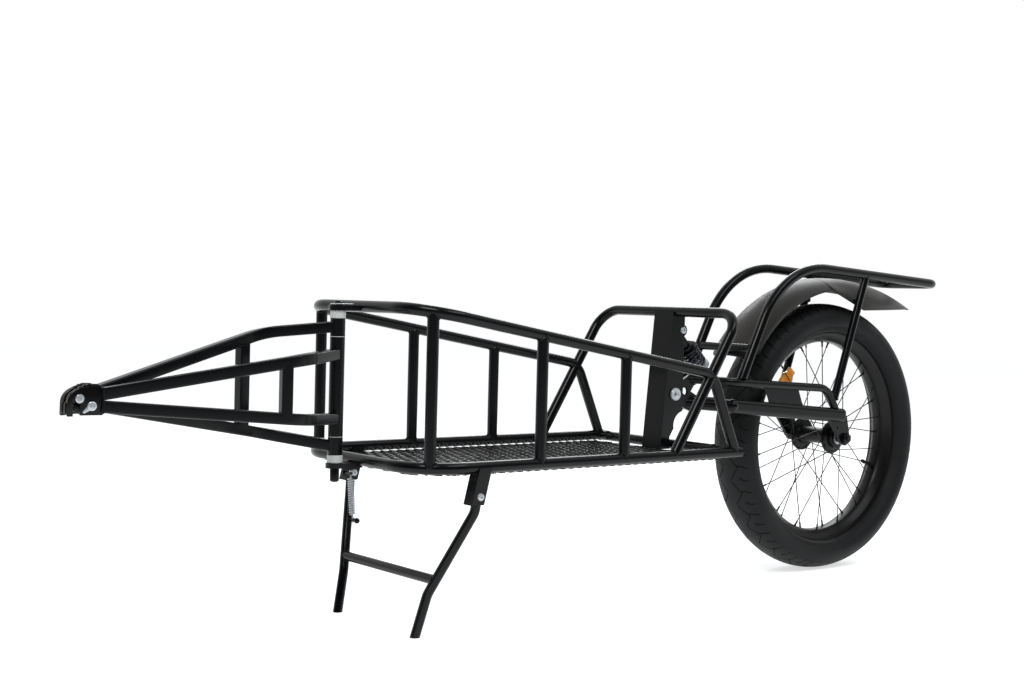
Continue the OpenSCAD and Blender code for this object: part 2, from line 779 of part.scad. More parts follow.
module stand_brackets() {
  inside = rail_y - leg_r - slide_gap;
  outside = rail_y + leg_r + slide_gap;
  color(black) both_sides() difference() {
    union() {
      y_plate(inside - bracket_t, inside) bracket_outline(0, 24);
      y_plate(outside, outside + bracket_t) bracket_outline(0, 24);
      y_plate(inside - bracket_t / 2, outside + bracket_t / 2) bracket_outline(0, bracket_t);
    }
    y_bar(stand_x, stand_z, stand_bolt_d / 2, 0, 2 * rail_y);
    lower_rail_cut();
  }
  color(black) y_plate(inside - bracket_t, inside)
    polygon([[hook_x - 5, hook_z - 6], [stand_x - 10, hook_z - 8], [stand_x - 6, hook_z + 12],
             [hook_x - 5, hook_z + 6]]);
  color(black) y_bar(hook_x, hook_z, peg_r, hook_y - 4, inside - bracket_t + 1);
}

bolt_head_h = 4;
module stand_bolts() {
  half = leg_r + slide_gap + bracket_t;
  color(zinc) both_sides() {
    y_bar(stand_x, stand_z, stand_bolt_d / 2, rail_y - half - eps, rail_y + half + eps);
    y_bar(stand_x, stand_z, 6, rail_y + half, rail_y + half + bolt_head_h);
    y_bar(stand_x, stand_z, 6, rail_y - half - bolt_head_h, rail_y - half);
  }
}

// Over-centre spring of the stand, between a pin on the right-hand bracket and a peg on the leg
peg_z = 150;
peg_part = (leg_knee_z - peg_z) / (leg_knee_z - leg_low[2]);
peg_x = leg_x + (leg_low[0] - leg_x) * peg_part;
peg_y = rail_y + (leg_low[1] - rail_y) * peg_part;
peg_r = 2.5;
peg_out = 22;
spring_y = peg_y - leg_r - 8.5;
hook_x = stand_x - 18;
hook_y = 155;
hook_z = 229;
module spring_peg() {
  y_bar(peg_x, peg_z, peg_r, peg_y - leg_r - peg_out, peg_y - leg_r + 1);
  translate([peg_x, peg_y - leg_r - peg_out, peg_z]) sphere(r = 5);
}

leg_path = [[leg_x, rail_y, leg_top_z], [leg_x, rail_y, leg_knee_z], leg_low, foot];
leg_bends = [0, 40, 45, 0];
foot_more = 14;
module leg_rod(r, inner = 0, seam = 0) {
  foot_end = foot + unit(foot - leg_low) * foot_more;
  bent_rod([leg_path[0], leg_path[1], leg_path[2], foot_end], leg_bends, r, inner, seam);
}
module stand_legs() {
  color(black) both_sides() difference() {
    union() {
      leg_rod(leg_r, leg_r - tube_wall, bend_seam);
      y_bar(stand_x, stand_z, leg_r + 1, rail_y - leg_r + 0.4, rail_y + leg_r - 0.4);
    }
    y_bar(stand_x, stand_z, stand_bolt_d / 2 + run_gap, 0, 2 * rail_y);
    translate([-2 * stand_back, 0, -100]) cube([2 * stand_back, 2 * rail_y, 100]);
  }
  color(black) spring_peg();
}
brace_up = 0.17;
brace_end = leg_low + (leg_path[1] - leg_low) * brace_up;
module stand_brace() {
  m = [brace_end[0], -brace_end[1], brace_end[2]];
  color(black) difference() {
    straight_tube(m, brace_end, leg_r);
    both_sides() leg_rod(leg_r);
  }
}

// Ring points of a wound wire: the path p, with the turn t counted in curls
wire_sides = 6;
curl_rings = 8;
function wire_ring(c, d, n, r) = [for (k = [0 : wire_sides - 1])
  let (a = 360 * k / wire_sides) c + r * (cos(a) * n + sin(a) * cross(d, n))];

// Spring along the line from a to b: straight ends, then curls of radius r with wire radius w
function coil_point(a, u, v, w, r, pitch, t) =
  a + w * (pitch * t) + r * (cos(360 * t) * u + sin(360 * t) * v);
function coil_path(a, b, r, turns) =
  let (w = unit(b - a), u = unit(cross(w, [0, 1, 0.01])), v = cross(w, u), pitch = norm(b - a) / turns)
  [for (i = [0 : turns * curl_rings]) coil_point(a, u, v, w, r, pitch, i / curl_rings)];
// The same with both ends brought in to the axis, and a straight end of length e each
function hooked_path(a, b, r, turns, e) =
  let (w = unit(b - a), u = unit(cross(w, [0, 1, 0.01])), v = cross(w, u),
       pitch = (norm(b - a) - 2 * e) / turns, n = turns * curl_rings)
  concat([a], [for (i = [0 : n])
    let (k = min(i, n - i) / 4) coil_point(a + w * e, u, v, w, r * min(k, 1), pitch, i / curl_rings)], [b]);
function path_dir(p, i) = unit(p[min(i + 1, len(p) - 1)] - p[max(i - 1, 0)]);
function wire_points(p, axis, r) = [for (i = [0 : len(p) - 1])
  let (d = path_dir(p, i), n = unit(cross(d, axis))) each wire_ring(p[i], d, n, r)];
function wire_faces(n) = concat(
  [[for (k = [0 : wire_sides - 1]) k]],
  [[for (k = [wire_sides - 1 : -1 : 0]) (n - 1) * wire_sides + k]],
  [for (i = [0 : n - 2], k = [0 : wire_sides - 1], h = [0, 1])
    let (a = i * wire_sides + k, b = i * wire_sides + (k + 1) % wire_sides)
    h == 0 ? [a, a + wire_sides, b] : [b, a + wire_sides, b + wire_sides]]);
module wound_wire(p, axis, r) {
  polyhedron(points = wire_points(p, axis, r), faces = wire_faces(len(p)));
}
// Least gap between wire that is half a curl or more apart
function least_gap(p, r) = min([for (i = [0 : len(p) - 1], j = [i + curl_rings / 2 : 1 : len(p) - 1])
  norm(p[i] - p[j])]) - 2 * r;

stand_coil_r = 6;
stand_wire_r = 1.1;
stand_turns = 16;
peg_axis = [peg_x, spring_y, peg_z];
hook_axis = [hook_x, hook_y, hook_z];
spring_dir = unit(hook_axis - peg_axis);
stand_coil = hooked_path(peg_axis + spring_dir * (peg_r + slide_gap), hook_axis - spring_dir * (peg_r + slide_gap),
                         stand_coil_r, stand_turns, 6);
module stand_spring() {
  color(zinc) wound_wire(stand_coil, spring_dir, stand_wire_r);
}

// Swingarm
yoke_t = 5;
yoke_y = 14;
stay_front_x = pivot_x + 52;
stay_bend_x = pivot_x + 107;
lower_front_z = 349;
lower_bend_z = 345;
lower_end_z = axle_z + 45.5;
upper_front_z = 394;
upper_bend_z = 390.5;
stay_end_x = 3;
round_r = 12;
oval_r = stay_w / 2;

module yoke_outline() {
  difference() {
    union() {
      translate([pivot_x, pivot_z]) circle(r = pivot_d / 2 + 1);
      polygon([[pivot_x - 4, pivot_z - 14.4], [stay_front_x - 6, lower_front_z - round_r - 3],
               [stay_front_x + 12, lower_front_z - round_r - 3], [stay_front_x + 12, lower_front_z + round_r + 2],
               [stay_front_x - 4, lower_front_z + round_r + 10], [stay_front_x + 4, upper_front_z - 12],
               [stay_front_x + 14, upper_front_z - 8], [stay_front_x + 14, upper_front_z + 10],
               [stay_front_x - 6, upper_front_z + 10], [pivot_x + 4, pivot_z + 14.4]]);
    }
    translate([pivot_x + 32, pivot_z + 4]) circle(r = 8);
    translate([pivot_x, pivot_z]) circle(r = pivot_d / 2);
  }
}
bush_wall = 3;
flange_t = 1.5;
pivot_half = post_w / 2 - post_t - slide_gap;
module swing_yoke() {
  color(black) {
    both_sides() y_plate(yoke_y, yoke_y + yoke_t) yoke_outline();
    difference() {
      y_bar(pivot_x, pivot_z, pivot_d / 2, -pivot_half + flange_t, pivot_half - flange_t);
      y_bar(pivot_x, pivot_z, pivot_bolt_d / 2 + bush_wall, -pivot_half - 1, pivot_half + 1);
    }
  }
}
module swing_bushes() {
  color(ivory) both_sides() difference() {
    union() {
      y_bar(pivot_x, pivot_z, pivot_bolt_d / 2 + bush_wall, 2, pivot_half);
      y_bar(pivot_x, pivot_z, pivot_d / 2 - 1, pivot_half - flange_t, pivot_half);
    }
    y_bar(pivot_x, pivot_z, pivot_bolt_d / 2 + run_gap, 0, post_w);
  }
}
cap_r = 12;
module pivot_bolt() {
  color(zinc) difference() {
    union() {
      y_bar(pivot_x, pivot_z, pivot_bolt_d / 2, -post_w / 2 - eps, post_w / 2 + 3);
      y_bar(pivot_x, pivot_z, cap_r, -post_w / 2 - 5, -post_w / 2);
      y_bar(pivot_x, pivot_z, cap_r - 2, post_w / 2, post_w / 2 + 8);
    }
    y_bar(pivot_x, pivot_z, 5, -post_w / 2 - 6, -post_w / 2 - 1);
  }
}

// Lower stay: a round tube that runs out from the yoke, then a flattened one to the dropout
function lower_z(x) = lower_bend_z + (lower_end_z - lower_bend_z) * (x - stay_bend_x) / (stay_end_x - stay_bend_x);
lower_a = [stay_front_x, yoke_y + yoke_t, lower_front_z];
lower_b = [stay_bend_x, stay_y, lower_bend_z];
lower_c = [stay_end_x - 14, stay_y, lower_z(stay_end_x - 14)];
stay_slope = atan2(lower_bend_z - lower_end_z, stay_end_x - stay_bend_x);
stay_len = norm(lower_c - lower_b);

module oval(r, h) {
  circle(r = r);
  for (s = [-1, 1]) translate([0, s * (h / 2 - oval_r)]) circle(r = r);
  square([2 * r, h - 2 * oval_r], center = true);
}
// Flattened stretch of the lower stay, smaller all round by inset
module oval_stay(inset) {
  translate(lower_b) rotate([0, stay_slope, 0]) {
    rotate([90, 0, 90]) linear_extrude(height = stay_len) oval(oval_r - inset, stay_h);
    for (x = [0, stay_len], s = [-1, 1])
      translate([x, 0, s * (stay_h / 2 - oval_r)]) sphere(r = oval_r - inset);
    for (x = [0, stay_len]) translate([x, 0, -(stay_h / 2 - oval_r)])
      cylinder(r = oval_r - inset, h = stay_h - 2 * oval_r);
  }
}
module lower_stay_solid(inset = 0) {
  d = unit(lower_b - lower_a);
  rod(lower_a - d * 12, lower_b, round_r - inset);
  translate(lower_b) sphere(r = round_r - inset);
  oval_stay(inset);
}
module lower_stays() {
  color(black) both_sides() difference() {
    lower_stay_solid();
    lower_stay_solid(tube_wall);
    y_plate(-post_w, yoke_y + yoke_t) translate([pivot_x - 50, 200]) square([400, 400]);
  }
}

upper_r = upper_stay_d / 2;
upper_path_r = [[stay_front_x, yoke_y + yoke_t, upper_front_z], [stay_bend_x, stay_y, upper_bend_z],
                [-58, stay_y, axle_z + 102.5], [-18, stay_y, axle_z + 37.5]];
upper_stay_bends = [0, 40, 45, 0];
module upper_stay_rod(r, inner = 0, seam = 0) {
  d = unit(upper_path_r[1] - upper_path_r[0]);
  bent_rod([upper_path_r[0] - d * 12, upper_path_r[1], upper_path_r[2], upper_path_r[3]],
           upper_stay_bends, r, inner, seam);
}
// Space under the top of the flattened lower stay
module lower_stay_cut() {
  top = stay_h / 2 + weld_gap;
  y_plate(yoke_y, stay_y + 40)
    polygon([[-320, lower_z(-320) + top], [-320, 200], [80, 200], [80, lower_z(80) + top]]);
}
module upper_stays() {
  color(black) both_sides() difference() {
    upper_stay_rod(upper_r, upper_r - tube_wall, bend_seam);
    y_plate(-post_w, yoke_y + yoke_t) translate([pivot_x - 50, 200]) square([400, 400]);
    lower_stay_cut();
  }
}

gusset_t = 3;
module stay_gussets() {
  color(black) both_sides() difference() {
    y_plate(stay_y - gusset_t / 2, stay_y + gusset_t / 2)
      polygon([[-243, 385], [-147, 379], [-126, 330], [-223, 340]]);
    upper_stay_rod(upper_r + weld_gap);
    lower_stay_cut();
  }
}

// Dropout plates inside the ends of the stays
drop_y = hub_gap / 2;
eyelet_at = [-24, axle_z + 22];
module dropout_outline() {
  difference() {
    union() {
      translate([0, axle_z]) circle(r = 15);
      polygon([[-60, axle_z + 52], [4, axle_z + 46], [14.9, axle_z + 2], [-5, axle_z - 14.2], [-14, axle_z - 5]]);
    }
    translate([0, axle_z]) circle(r = axle_d / 2 + run_gap);
    translate(eyelet_at) circle(r = eyelet_d / 2);
  }
}
module dropouts() {
  color(black) both_sides() difference() {
    y_plate(drop_y, drop_y + dropout_t) dropout_outline();
    lower_stay_solid();
  }
}

// Cross tube between the upper stays, with ears for the shock
bridge_x = -shock_low_fwd + 19;
bridge_z = shock_low_z - 11;
bridge_half = stay_y - upper_r - 0.9;
eye_half = 12;
ear_t = 4;
shock_bolt_d = 8;
module shock_bridge() {
  color(black) difference() {
    union() {
      y_bar(bridge_x, bridge_z, 8, -bridge_half, bridge_half);
      both_sides() y_plate(eye_half + slide_gap, eye_half + slide_gap + ear_t) {
        translate([-shock_low_fwd, shock_low_z]) circle(r = 10);
        polygon([[-shock_low_fwd - 3, shock_low_z - 9.5], [bridge_x, bridge_z - 4],
                 [bridge_x, bridge_z + 8], [-shock_low_fwd + 3, shock_low_z + 9.5]]);
      }
    }
    y_bar(-shock_low_fwd, shock_low_z, shock_bolt_d / 2, -30, 30);
  }
}
module cross_bolt(x, z, half) {
  color(zinc) {
    y_bar(x, z, shock_bolt_d / 2, -half - eps, half + eps);
    y_bar(x, z, 6.5, -half - 4, -half);
    y_bar(x, z, 6.5, half, half + 4);
  }
}
module shock_low_bolt() { cross_bolt(-shock_low_fwd, shock_low_z, eye_half + slide_gap + ear_t); }

spacer_half = post_w / 2 - post_t;
module shock_top_bolt() {
  cross_bolt(shock_top_x, shock_top_z, post_w / 2);
  color(zinc) both_sides() difference() {
    y_bar(shock_top_x, shock_top_z, 6, eye_half + slide_gap, spacer_half);
    y_bar(shock_top_x, shock_top_z, shock_bolt_d / 2, 0, 40);
  }
}

// Shock absorber, drawn along its own axis from the upper eye
shock_a = [shock_top_x, 0, shock_top_z];
shock_b = [-shock_low_fwd, 0, shock_low_z];
shock_len = norm(shock_b - shock_a);
coil_start = 54;
coil_end = shock_len - 25;
body_r = 10;
shaft_r = 5;
collar_t = 4;
module on_shock() { translate(shock_a) along(shock_b - shock_a) children(); }
module eye(half, hole) {
  rotate([90, 0, 0]) difference() {
    cylinder(r = 10, h = 2 * half, center = true);
    cylinder(r = hole, h = 2 * half + 2, center = true);
  }
}
module shock_body() {
  color(dark) on_shock() {
    difference() {
      union() {
        eye(eye_half, shock_bolt_d / 2 + run_gap);
        translate([0, 0, 8]) cylinder(r = body_r, h = coil_start + 14);
        translate([0, 0, coil_start - collar_t]) cylinder(r = coil_d / 2 + 1, h = collar_t);
        translate([0, 0, coil_start - 2 * collar_t - 3]) cylinder(r = body_r + 5, h = 7);
      }
      translate([0, 0, 30]) cylinder(r = shaft_r + run_gap, h = coil_start + 20);
      rotate([90, 0, 0]) cylinder(r = shock_bolt_d / 2 + run_gap, h = 40, center = true);
    }
  }
}
module shock_shaft() {
  color(zinc) on_shock() difference() {
    union() {
      translate([0, 0, 60]) cylinder(r = shaft_r, h = shock_len - 60 - 9);
      translate([0, 0, coil_end]) cylinder(r = coil_d / 2 + 1, h = collar_t);
      translate([0, 0, coil_end + collar_t]) cylinder(r = 9, h = shock_len - coil_end - collar_t - 6);
      translate([0, 0, shock_len]) eye(eye_half, low_eye_r);
    }
    translate([0, 0, shock_len]) rotate([90, 0, 0]) cylinder(r = low_eye_r, h = 40, center = true);
  }
}
low_eye_r = shock_bolt_d / 2 + 0.4;
coil_r = coil_d / 2 - coil_wire / 2;
coil_dir = unit(shock_b - shock_a);
shock_winding = coil_path(shock_a + coil_dir * (coil_start + coil_wire / 2 + slide_gap),
                          shock_a + coil_dir * (coil_end - coil_wire / 2 - slide_gap), coil_r, coil_turns);
module shock_coil() {
  color([0.12, 0.13, 0.2]) wound_wire(shock_winding, coil_dir, coil_wire / 2);
}
echo(stand_spring_gap = least_gap(stand_coil, stand_wire_r), shock_coil_gap = least_gap(shock_winding, coil_wire / 2));

// Rack
rack_z = axle_z + rack_up;
rack_low = [-309, stay_y, axle_z + 118.5];
rack_knee = [-196, stay_y, rack_z];
rack_end_z = rack_z - 0.0595 * (rack_rear - rack_knee[0]);
function flip_y(p) = [p[0], -p[1], p[2]];
rack_corner = [rack_rear, stay_y, rack_end_z];
rack_path = [rack_low, rack_knee, rack_corner, flip_y(rack_corner), flip_y(rack_knee), flip_y(rack_low)];
rack_bends = [0, 185, 32, 32, 185, 0];
rack_r = rack_d / 2;
// Space under the top of the straight stretch of the upper stays
stay_fall = (upper_path_r[2][2] - upper_path_r[1][2]) / (upper_path_r[2][0] - upper_path_r[1][0]);
function stay_top(x) = upper_bend_z + stay_fall * (x - stay_bend_x) + upper_r + weld_gap;
module rack_loop() {
  color(black) difference() {
    bent_tube(rack_path, rack_bends, rack_r);
    y_plate(-stay_y - 40, stay_y + 40)
      polygon([[-400, stay_top(-400)], [-400, 200], [-150, 200], [-150, stay_top(-150)]]);
  }
}
bar_z = axle_z + 182.5;
bar_part = (bar_z - rack_low[2]) / (rack_knee[2] - rack_low[2]);
bar_x = rack_low[0] + (rack_knee[0] - rack_low[0]) * bar_part - 1.44;
module rack_front_bar() {
  color(black) difference() {
    straight_tube([bar_x, -stay_y, bar_z], [bar_x, stay_y, bar_z], 8);
    both_sides() rod(rack_low, rack_knee, rack_r + weld_gap);
  }
}
strut_top = [52.5, stay_y, rack_z - 0.0595 * (52.5 - rack_knee[0])];
strut_low = [-36, stay_y, axle_z + 79.5];
module strut_rod(r) { rod(strut_low, strut_top, r); }
module rack_struts() {
  color(black) both_sides() difference() {
    strut_rod(8);
    strut_rod(8 - tube_wall);
    rod(rack_knee, rack_corner, rack_r + weld_gap);
    long_rod(upper_path_r[2], upper_path_r[3], upper_r + weld_gap, 40);
  }
}

// Fender: a curved front piece that follows the wheel, and a tail that runs off behind it
fender_rise = fender_drop;
fender_edge_r = fender_r - fender_drop;
fender_arc_r = (fender_y * fender_y + fender_rise * fender_rise) / (2 * fender_rise);
fender_split_x = -36;
fender_front_a = 149;
module fender_section() {
  intersection() {
    difference() {
      translate([fender_r - fender_arc_r, 0]) circle(r = fender_arc_r, $fn = 180);
      translate([fender_r - fender_arc_r, 0]) circle(r = fender_arc_r - fender_t, $fn = 180);
    }
    translate([fender_edge_r - 1, -fender_y]) square([fender_rise + 2, 2 * fender_y]);
  }
}
tip_r = 34;
module fender_front() {
  color(charcoal) intersection() {
    translate([0, 0, axle_z]) rotate([90, 0, 0]) rotate([0, 0, 88])
      rotate_extrude(angle = fender_front_a - 88, $fn = 180) fender_section();
    translate([-600, -100, 0]) cube([600 + fender_split_x, 200, 800]);
    translate([0, 0, axle_z]) rotate([0, -fender_front_a, 0]) union() {
      translate([0, -fender_y - 1, -400]) cube([400, 2 * fender_y + 2, 400 - tip_r]);
      translate([0, -fender_y + tip_r, -400]) cube([400, 2 * (fender_y - tip_r), 400]);
      for (s = [-1, 1]) translate([0, s * (fender_y - tip_r), -tip_r]) rotate([0, 90, 0])
        cylinder(r = tip_r, h = 400);
    }
  }
}

tail_stations = 12;
tail_points = 12;
tail_ridge_r = 650;
tail_top_x = 10;
tail_top_z = axle_z + fender_r;
tail_corner_x = 65;
tail_corner_z = axle_z + 260;
tail_tip_w = 3;
function tail_x(i) = fender_split_x + slide_gap + (tail_back - fender_split_x) * i / tail_stations;
function tail_ridge(x) = tail_top_z - pow(x - tail_top_x, 2) / (2 * tail_ridge_r);
tail_tip_z = tail_ridge(tail_back) - 4;
tail_seam_z = axle_z + sqrt(fender_edge_r * fender_edge_r - fender_split_x * fender_split_x);
function tail_edge(x) = x < tail_corner_x
  ? tail_seam_z + (tail_corner_z - tail_seam_z) * (x - fender_split_x) / (tail_corner_x - fender_split_x)
  : tail_corner_z + (tail_tip_z - tail_corner_z) * (x - tail_corner_x) / (tail_back - tail_corner_x);
function tail_half(x) = x < tail_corner_x ? fender_y
  : tail_tip_w + (fender_y - tail_tip_w) * (1 - pow((x - tail_corner_x) / (tail_back - tail_corner_x), 1.6));
function tail_ring(x, inset) =
  let (w = max(tail_half(x) - inset, 0.6), e = tail_edge(x), h = max(tail_ridge(x) - inset - e, 1))
  [for (k = [0 : tail_points]) let (a = -90 + 180 * k / tail_points) [x, w * sin(a), e + h * cos(a)]];
tail_n = tail_points + 1;
tail_all = tail_n * (tail_stations + 1);
tail_outer = [for (i = [0 : tail_stations]) each tail_ring(tail_x(i), 0)];
tail_inner = [for (i = [0 : tail_stations]) each tail_ring(tail_x(i), fender_t)];
function quad(a, b, c, d) = [[a, b, c], [a, c, d]];
tail_faces = concat(
  [for (i = [0 : tail_stations - 1], k = [0 : tail_points - 1])
    let (a = i * tail_n + k) each quad(a, a + 1, a + 1 + tail_n, a + tail_n)],
  [for (i = [0 : tail_stations - 1], k = [0 : tail_points - 1])
    let (a = tail_all + i * tail_n + k) each quad(a, a + tail_n, a + 1 + tail_n, a + 1)],
  [for (k = [0 : tail_points - 1]) each quad(k, tail_all + k, tail_all + k + 1, k + 1)],
  [for (k = [0 : tail_points - 1]) let (a = tail_stations * tail_n + k)
    each quad(a, a + 1, tail_all + a + 1, tail_all + a)],
  [for (i = [0 : tail_stations - 1]) let (a = i * tail_n)
    each quad(a, a + tail_n, tail_all + a + tail_n, tail_all + a)],
  [for (i = [0 : tail_stations - 1]) let (a = i * tail_n + tail_points)
    each quad(a, tail_all + a, tail_all + a + tail_n, a + tail_n)]);
module fender_tail() {
  color(charcoal) polyhedron(points = concat(tail_outer, tail_inner), faces = tail_faces);
}

// Clamp block on the rack's front bar and a bolt from each strut to the tail's skirt
mount_z = axle_z + fender_r - 45.5;
mount_x = strut_low[0] + (strut_top[0] - strut_low[0]) * (mount_z - strut_low[2]) / (strut_top[2] - strut_low[2]);
module fender_mounts() {
  bar_turn = atan2(bar_z - axle_z, bar_x);
  color(dark) difference() {
    translate([0, 0, axle_z]) rotate([0, -bar_turn, 0]) translate([fender_r - 6, -10, -9])
      cube([norm([bar_x, bar_z - axle_z]) - fender_r + 6, 20, 18]);
    y_bar(bar_x, bar_z, 8 + weld_gap, -40, 40);
    translate([0, 0, axle_z]) rotate([90, 0, 0]) rotate_extrude($fn = 720)
      translate([fender_r - fender_arc_r, 0]) circle(r = fender_arc_r + 3 * weld_gap, $fn = 360);
  }
  color(zinc) both_sides() difference() {
    y_bar(mount_x, mount_z, 5, fender_y, stay_y + 2);
    strut_rod(8 + weld_gap);
  }
}

// Axle with its nuts and spacers
nut_h = 9;
module axle() {
  bearing_in = hub_face - bearing_w;
  color(zinc) {
    y_bar(0, axle_z, axle_d / 2, -drop_y - dropout_t - nut_h - 3, drop_y + dropout_t + nut_h + 3);
    both_sides() difference() {
      union() {
        translate([0, drop_y + dropout_t, axle_z]) rotate([-90, 0, 0]) cylinder(r = 11, h = nut_h, $fn = 6);
        y_bar(0, axle_z, 9, hub_face + slide_gap, drop_y);
      }
      y_bar(0, axle_z, axle_d / 2, 0, 200);
    }
  }
}

// Hub
bearing_w = 8;
bearing_r = 14;
hub_face = 56;
flange_t2 = 4;
hole_r = flange_d / 2 - 5;
module hub() {
  color(dark) difference() {
    union() {
      y_bar(0, axle_z, barrel_d / 2, -hub_face, hub_face);
      both_sides() {
        y_bar(0, axle_z, flange_d / 2, flange_y - flange_t2 / 2, flange_y + flange_t2 / 2);
        y_bar(0, axle_z, bearing_r + 7, flange_y, hub_face);
      }
    }
    y_bar(0, axle_z, axle_d / 2 + 1.5, -hub_face - 1, hub_face + 1);
    both_sides() y_bar(0, axle_z, bearing_r, hub_face - bearing_w, hub_face + 1);
  }
}
module hub_bearings() {
  color(zinc) both_sides() difference() {
    y_bar(0, axle_z, bearing_r, hub_face - bearing_w, hub_face);
    y_bar(0, axle_z, axle_d / 2 + run_gap, 0, 100);
  }
}

// Rim, as a revolved section: radius across, width up
rim_in = rim_open_d / 2;
bead_r = rim_in + bead_up;
rim_half = rim_w / 2;
module rim_section() {
  polygon([[rim_in - 1, -rim_half + 17], [rim_in + 2, -rim_half + 11], [rim_in + 9, -rim_half + 5.5],
           [bead_r - 2.5, -rim_half + 2.5], [bead_r, -rim_half], [bead_r + 5, -rim_half],
           [bead_r + 5, -rim_half + 1.8], [bead_r, -rim_half + 2.2], [bead_r, -rim_half + 9],
           [rim_in + 4.5, -rim_half + 12.5], [rim_in + 1.5, -rim_half + 18], [rim_in + 1.5, rim_half - 18],
           [rim_in + 4.5, rim_half - 12.5], [bead_r, rim_half - 9], [bead_r, rim_half - 2.2],
           [bead_r + 5, rim_half - 1.8], [bead_r + 5, rim_half], [bead_r, rim_half],
           [bead_r - 2.5, rim_half - 2.5], [rim_in + 9, rim_half - 5.5], [rim_in + 2, rim_half - 11],
           [rim_in - 1, rim_half - 17]]);
}
module wheel_ring() { translate([0, 0, axle_z]) rotate([90, 0, 0]) rotate_extrude($fn = 180) children(); }
nipple_r = 2.4;
valve_a = -22;
module rim() {
  color(dark) difference() {
    wheel_ring() rim_section();
    translate([0, 0, axle_z]) rotate([0, -valve_a, 0]) rotate([0, 90, 0]) translate([0, 0, rim_in - 10])
      cylinder(r = 4, h = 30);
  }
}

// Tyre casing: an oval ring, open towards the rim
tyre_half = tyre_w / 2;
tyre_mid_r = (tyre_d / 2 + bead_r) / 2;
tyre_deep = (tyre_d / 2 - bead_r) / 2;
tyre_points = 40;
function tyre_point(a, w, h) =
  [tyre_mid_r + h * cos(a), w * sin(a)];
bead_y = rim_half - 2.2 - slide_gap;
foot_w = 7;
module tyre() {
  color([0.125, 0.13, 0.135]) wheel_ring() difference() {
    union() {
      polygon([for (i = [0 : tyre_points - 1]) tyre_point(360 * i / tyre_points, tyre_half, tyre_deep)]);
      for (s = [-1, 1]) translate([bead_r + slide_gap, s > 0 ? bead_y - foot_w : -bead_y]) square([tyre_deep, foot_w]);
    }
    intersection() {
      polygon([for (i = [0 : tyre_points - 1])
        tyre_point(360 * i / tyre_points, tyre_half - tyre_wall, tyre_deep - tyre_wall)]);
      translate([bead_r + 8, -tyre_half]) square([200, tyre_w]);
    }
    translate([0, -bead_y + foot_w]) square([bead_r + 8.1, 2 * (bead_y - foot_w)]);
    translate([0, -tyre_half]) square([bead_r + slide_gap, tyre_w]);
    for (s = [-1, 1]) translate([bead_r + slide_gap - 1, s > 0 ? bead_y : -bead_y - 40]) square([6.3, 40]);
  }
}

// Spokes: crossed, from alternate sides of each flange to a nipple in the rim
spoke_r = spoke_d / 2;
per_side = spoke_n / 2;
cross_turn = 60;
// Distance inside the flange at which the outer and the inner spokes leave it
head_off = [flange_t2 / 2 + spoke_r, flange_t2 / 2 + spoke_r + 3.5];
function wheel_pt(r, a, y) = [r * cos(a), y, axle_z + r * sin(a)];
module spoke(side, i) {
  out = i % 2 == 0 ? 1 : -1;
  hole_a = 360 * i / per_side + (side > 0 ? 0 : 180 / per_side);
  rim_a = hole_a + out * cross_turn;
  a = wheel_pt(hole_r, hole_a, side * (flange_y - (out > 0 ? head_off[0] : head_off[1])));
  root = wheel_pt(hole_r, hole_a, side * (flange_y - flange_t2 / 2 - weld_gap));
  b = wheel_pt(rim_in - 1.5, rim_a, side * (7 + out * 0.8));
  d = unit(b - a);
  rod(a, b, spoke_r);
  rod(root, a - [0, side * spoke_r / 2, 0], spoke_r);
  rod(b - d * 11, b + d * 1.2, nipple_r - 0.4);
}
module spokes() {
  color([0.05, 0.05, 0.055]) difference() {
    for (side = [-1, 1], i = [0 : per_side - 1]) spoke(side, i);
    wheel_ring() rim_section();
  }
}

// Amber reflector among the spokes
reflector_l = 100;
reflector_a = 141;
module reflector() {
  color([0.95, 0.55, 0.06]) translate([0, 0, axle_z]) rotate([0, -reflector_a, 0])
    translate([rim_in - 40, -5.3, 0]) union() {
      translate([-15, -3, -reflector_l / 2 + 12]) cube([30, 6, reflector_l - 24]);
      translate([-9, -3, -reflector_l / 2]) cube([18, 6, reflector_l]);
    }
}
module valve_stem() {
  color(dark) translate([0, 0, axle_z]) rotate([0, -valve_a, 0]) rotate([0, 90, 0]) {
    translate([0, 0, rim_in - 36]) cylinder(r = 3, h = 39);
    translate([0, 0, rim_in - 36]) cylinder(r = 4, h = 10);
  }
}

// Small eyes for a lashing strap on the rear cross tube
eye_r = 7;
module tie_down_eyes() {
  color(black) both_sides() difference() {
    translate([cage_x - tube_r - eye_r + 3, rail_y - 40, rail_z + 3]) rotate([90, 0, 0])
      rotate_extrude() translate([eye_r, 0]) circle(r = 2);
    y_bar(cage_x, rail_z, cut_r, 0, rail_y);
  }
}

// Moves the middle of the trailer's length to x = 0
module placed() { translate([-mid_x, 0, 0]) children(); }

placed() upper_hoop();
placed() lower_hoop();
placed() rear_cross_tube();
placed() front_uprights();
placed() middle_uprights();
placed() rear_uprights();
placed() roll_hoop();
placed() centre_post();
placed() floor_mesh();
placed() hinge_lugs();
placed() hinge_bushes();
placed() hinge_pin();
placed() pin_clip();
placed() stand_brackets();
placed() stand_bolts();
placed() pivot_bolt();
placed() shock_top_bolt();
placed() tie_down_eyes();
placed() right_knuckles();
placed() right_top_rail();
placed() right_bottom_rail();
placed() right_brace();
placed() right_hitch_head();
placed() right_hitch_screws();
placed() right_latch();
placed() left_knuckle();
placed() left_top_rail();
placed() left_bottom_rail();
placed() left_brace();
placed() left_hitch_head();
placed() left_hitch_screws();
placed() left_latch();
placed() stand_legs();
placed() stand_brace();
placed() stand_spring();
placed() swing_yoke();
placed() swing_bushes();
placed() lower_stays();
placed() upper_stays();
placed() stay_gussets();
placed() dropouts();
placed() shock_bridge();
placed() shock_low_bolt();
placed() rack_loop();
placed() rack_front_bar();
placed() rack_struts();
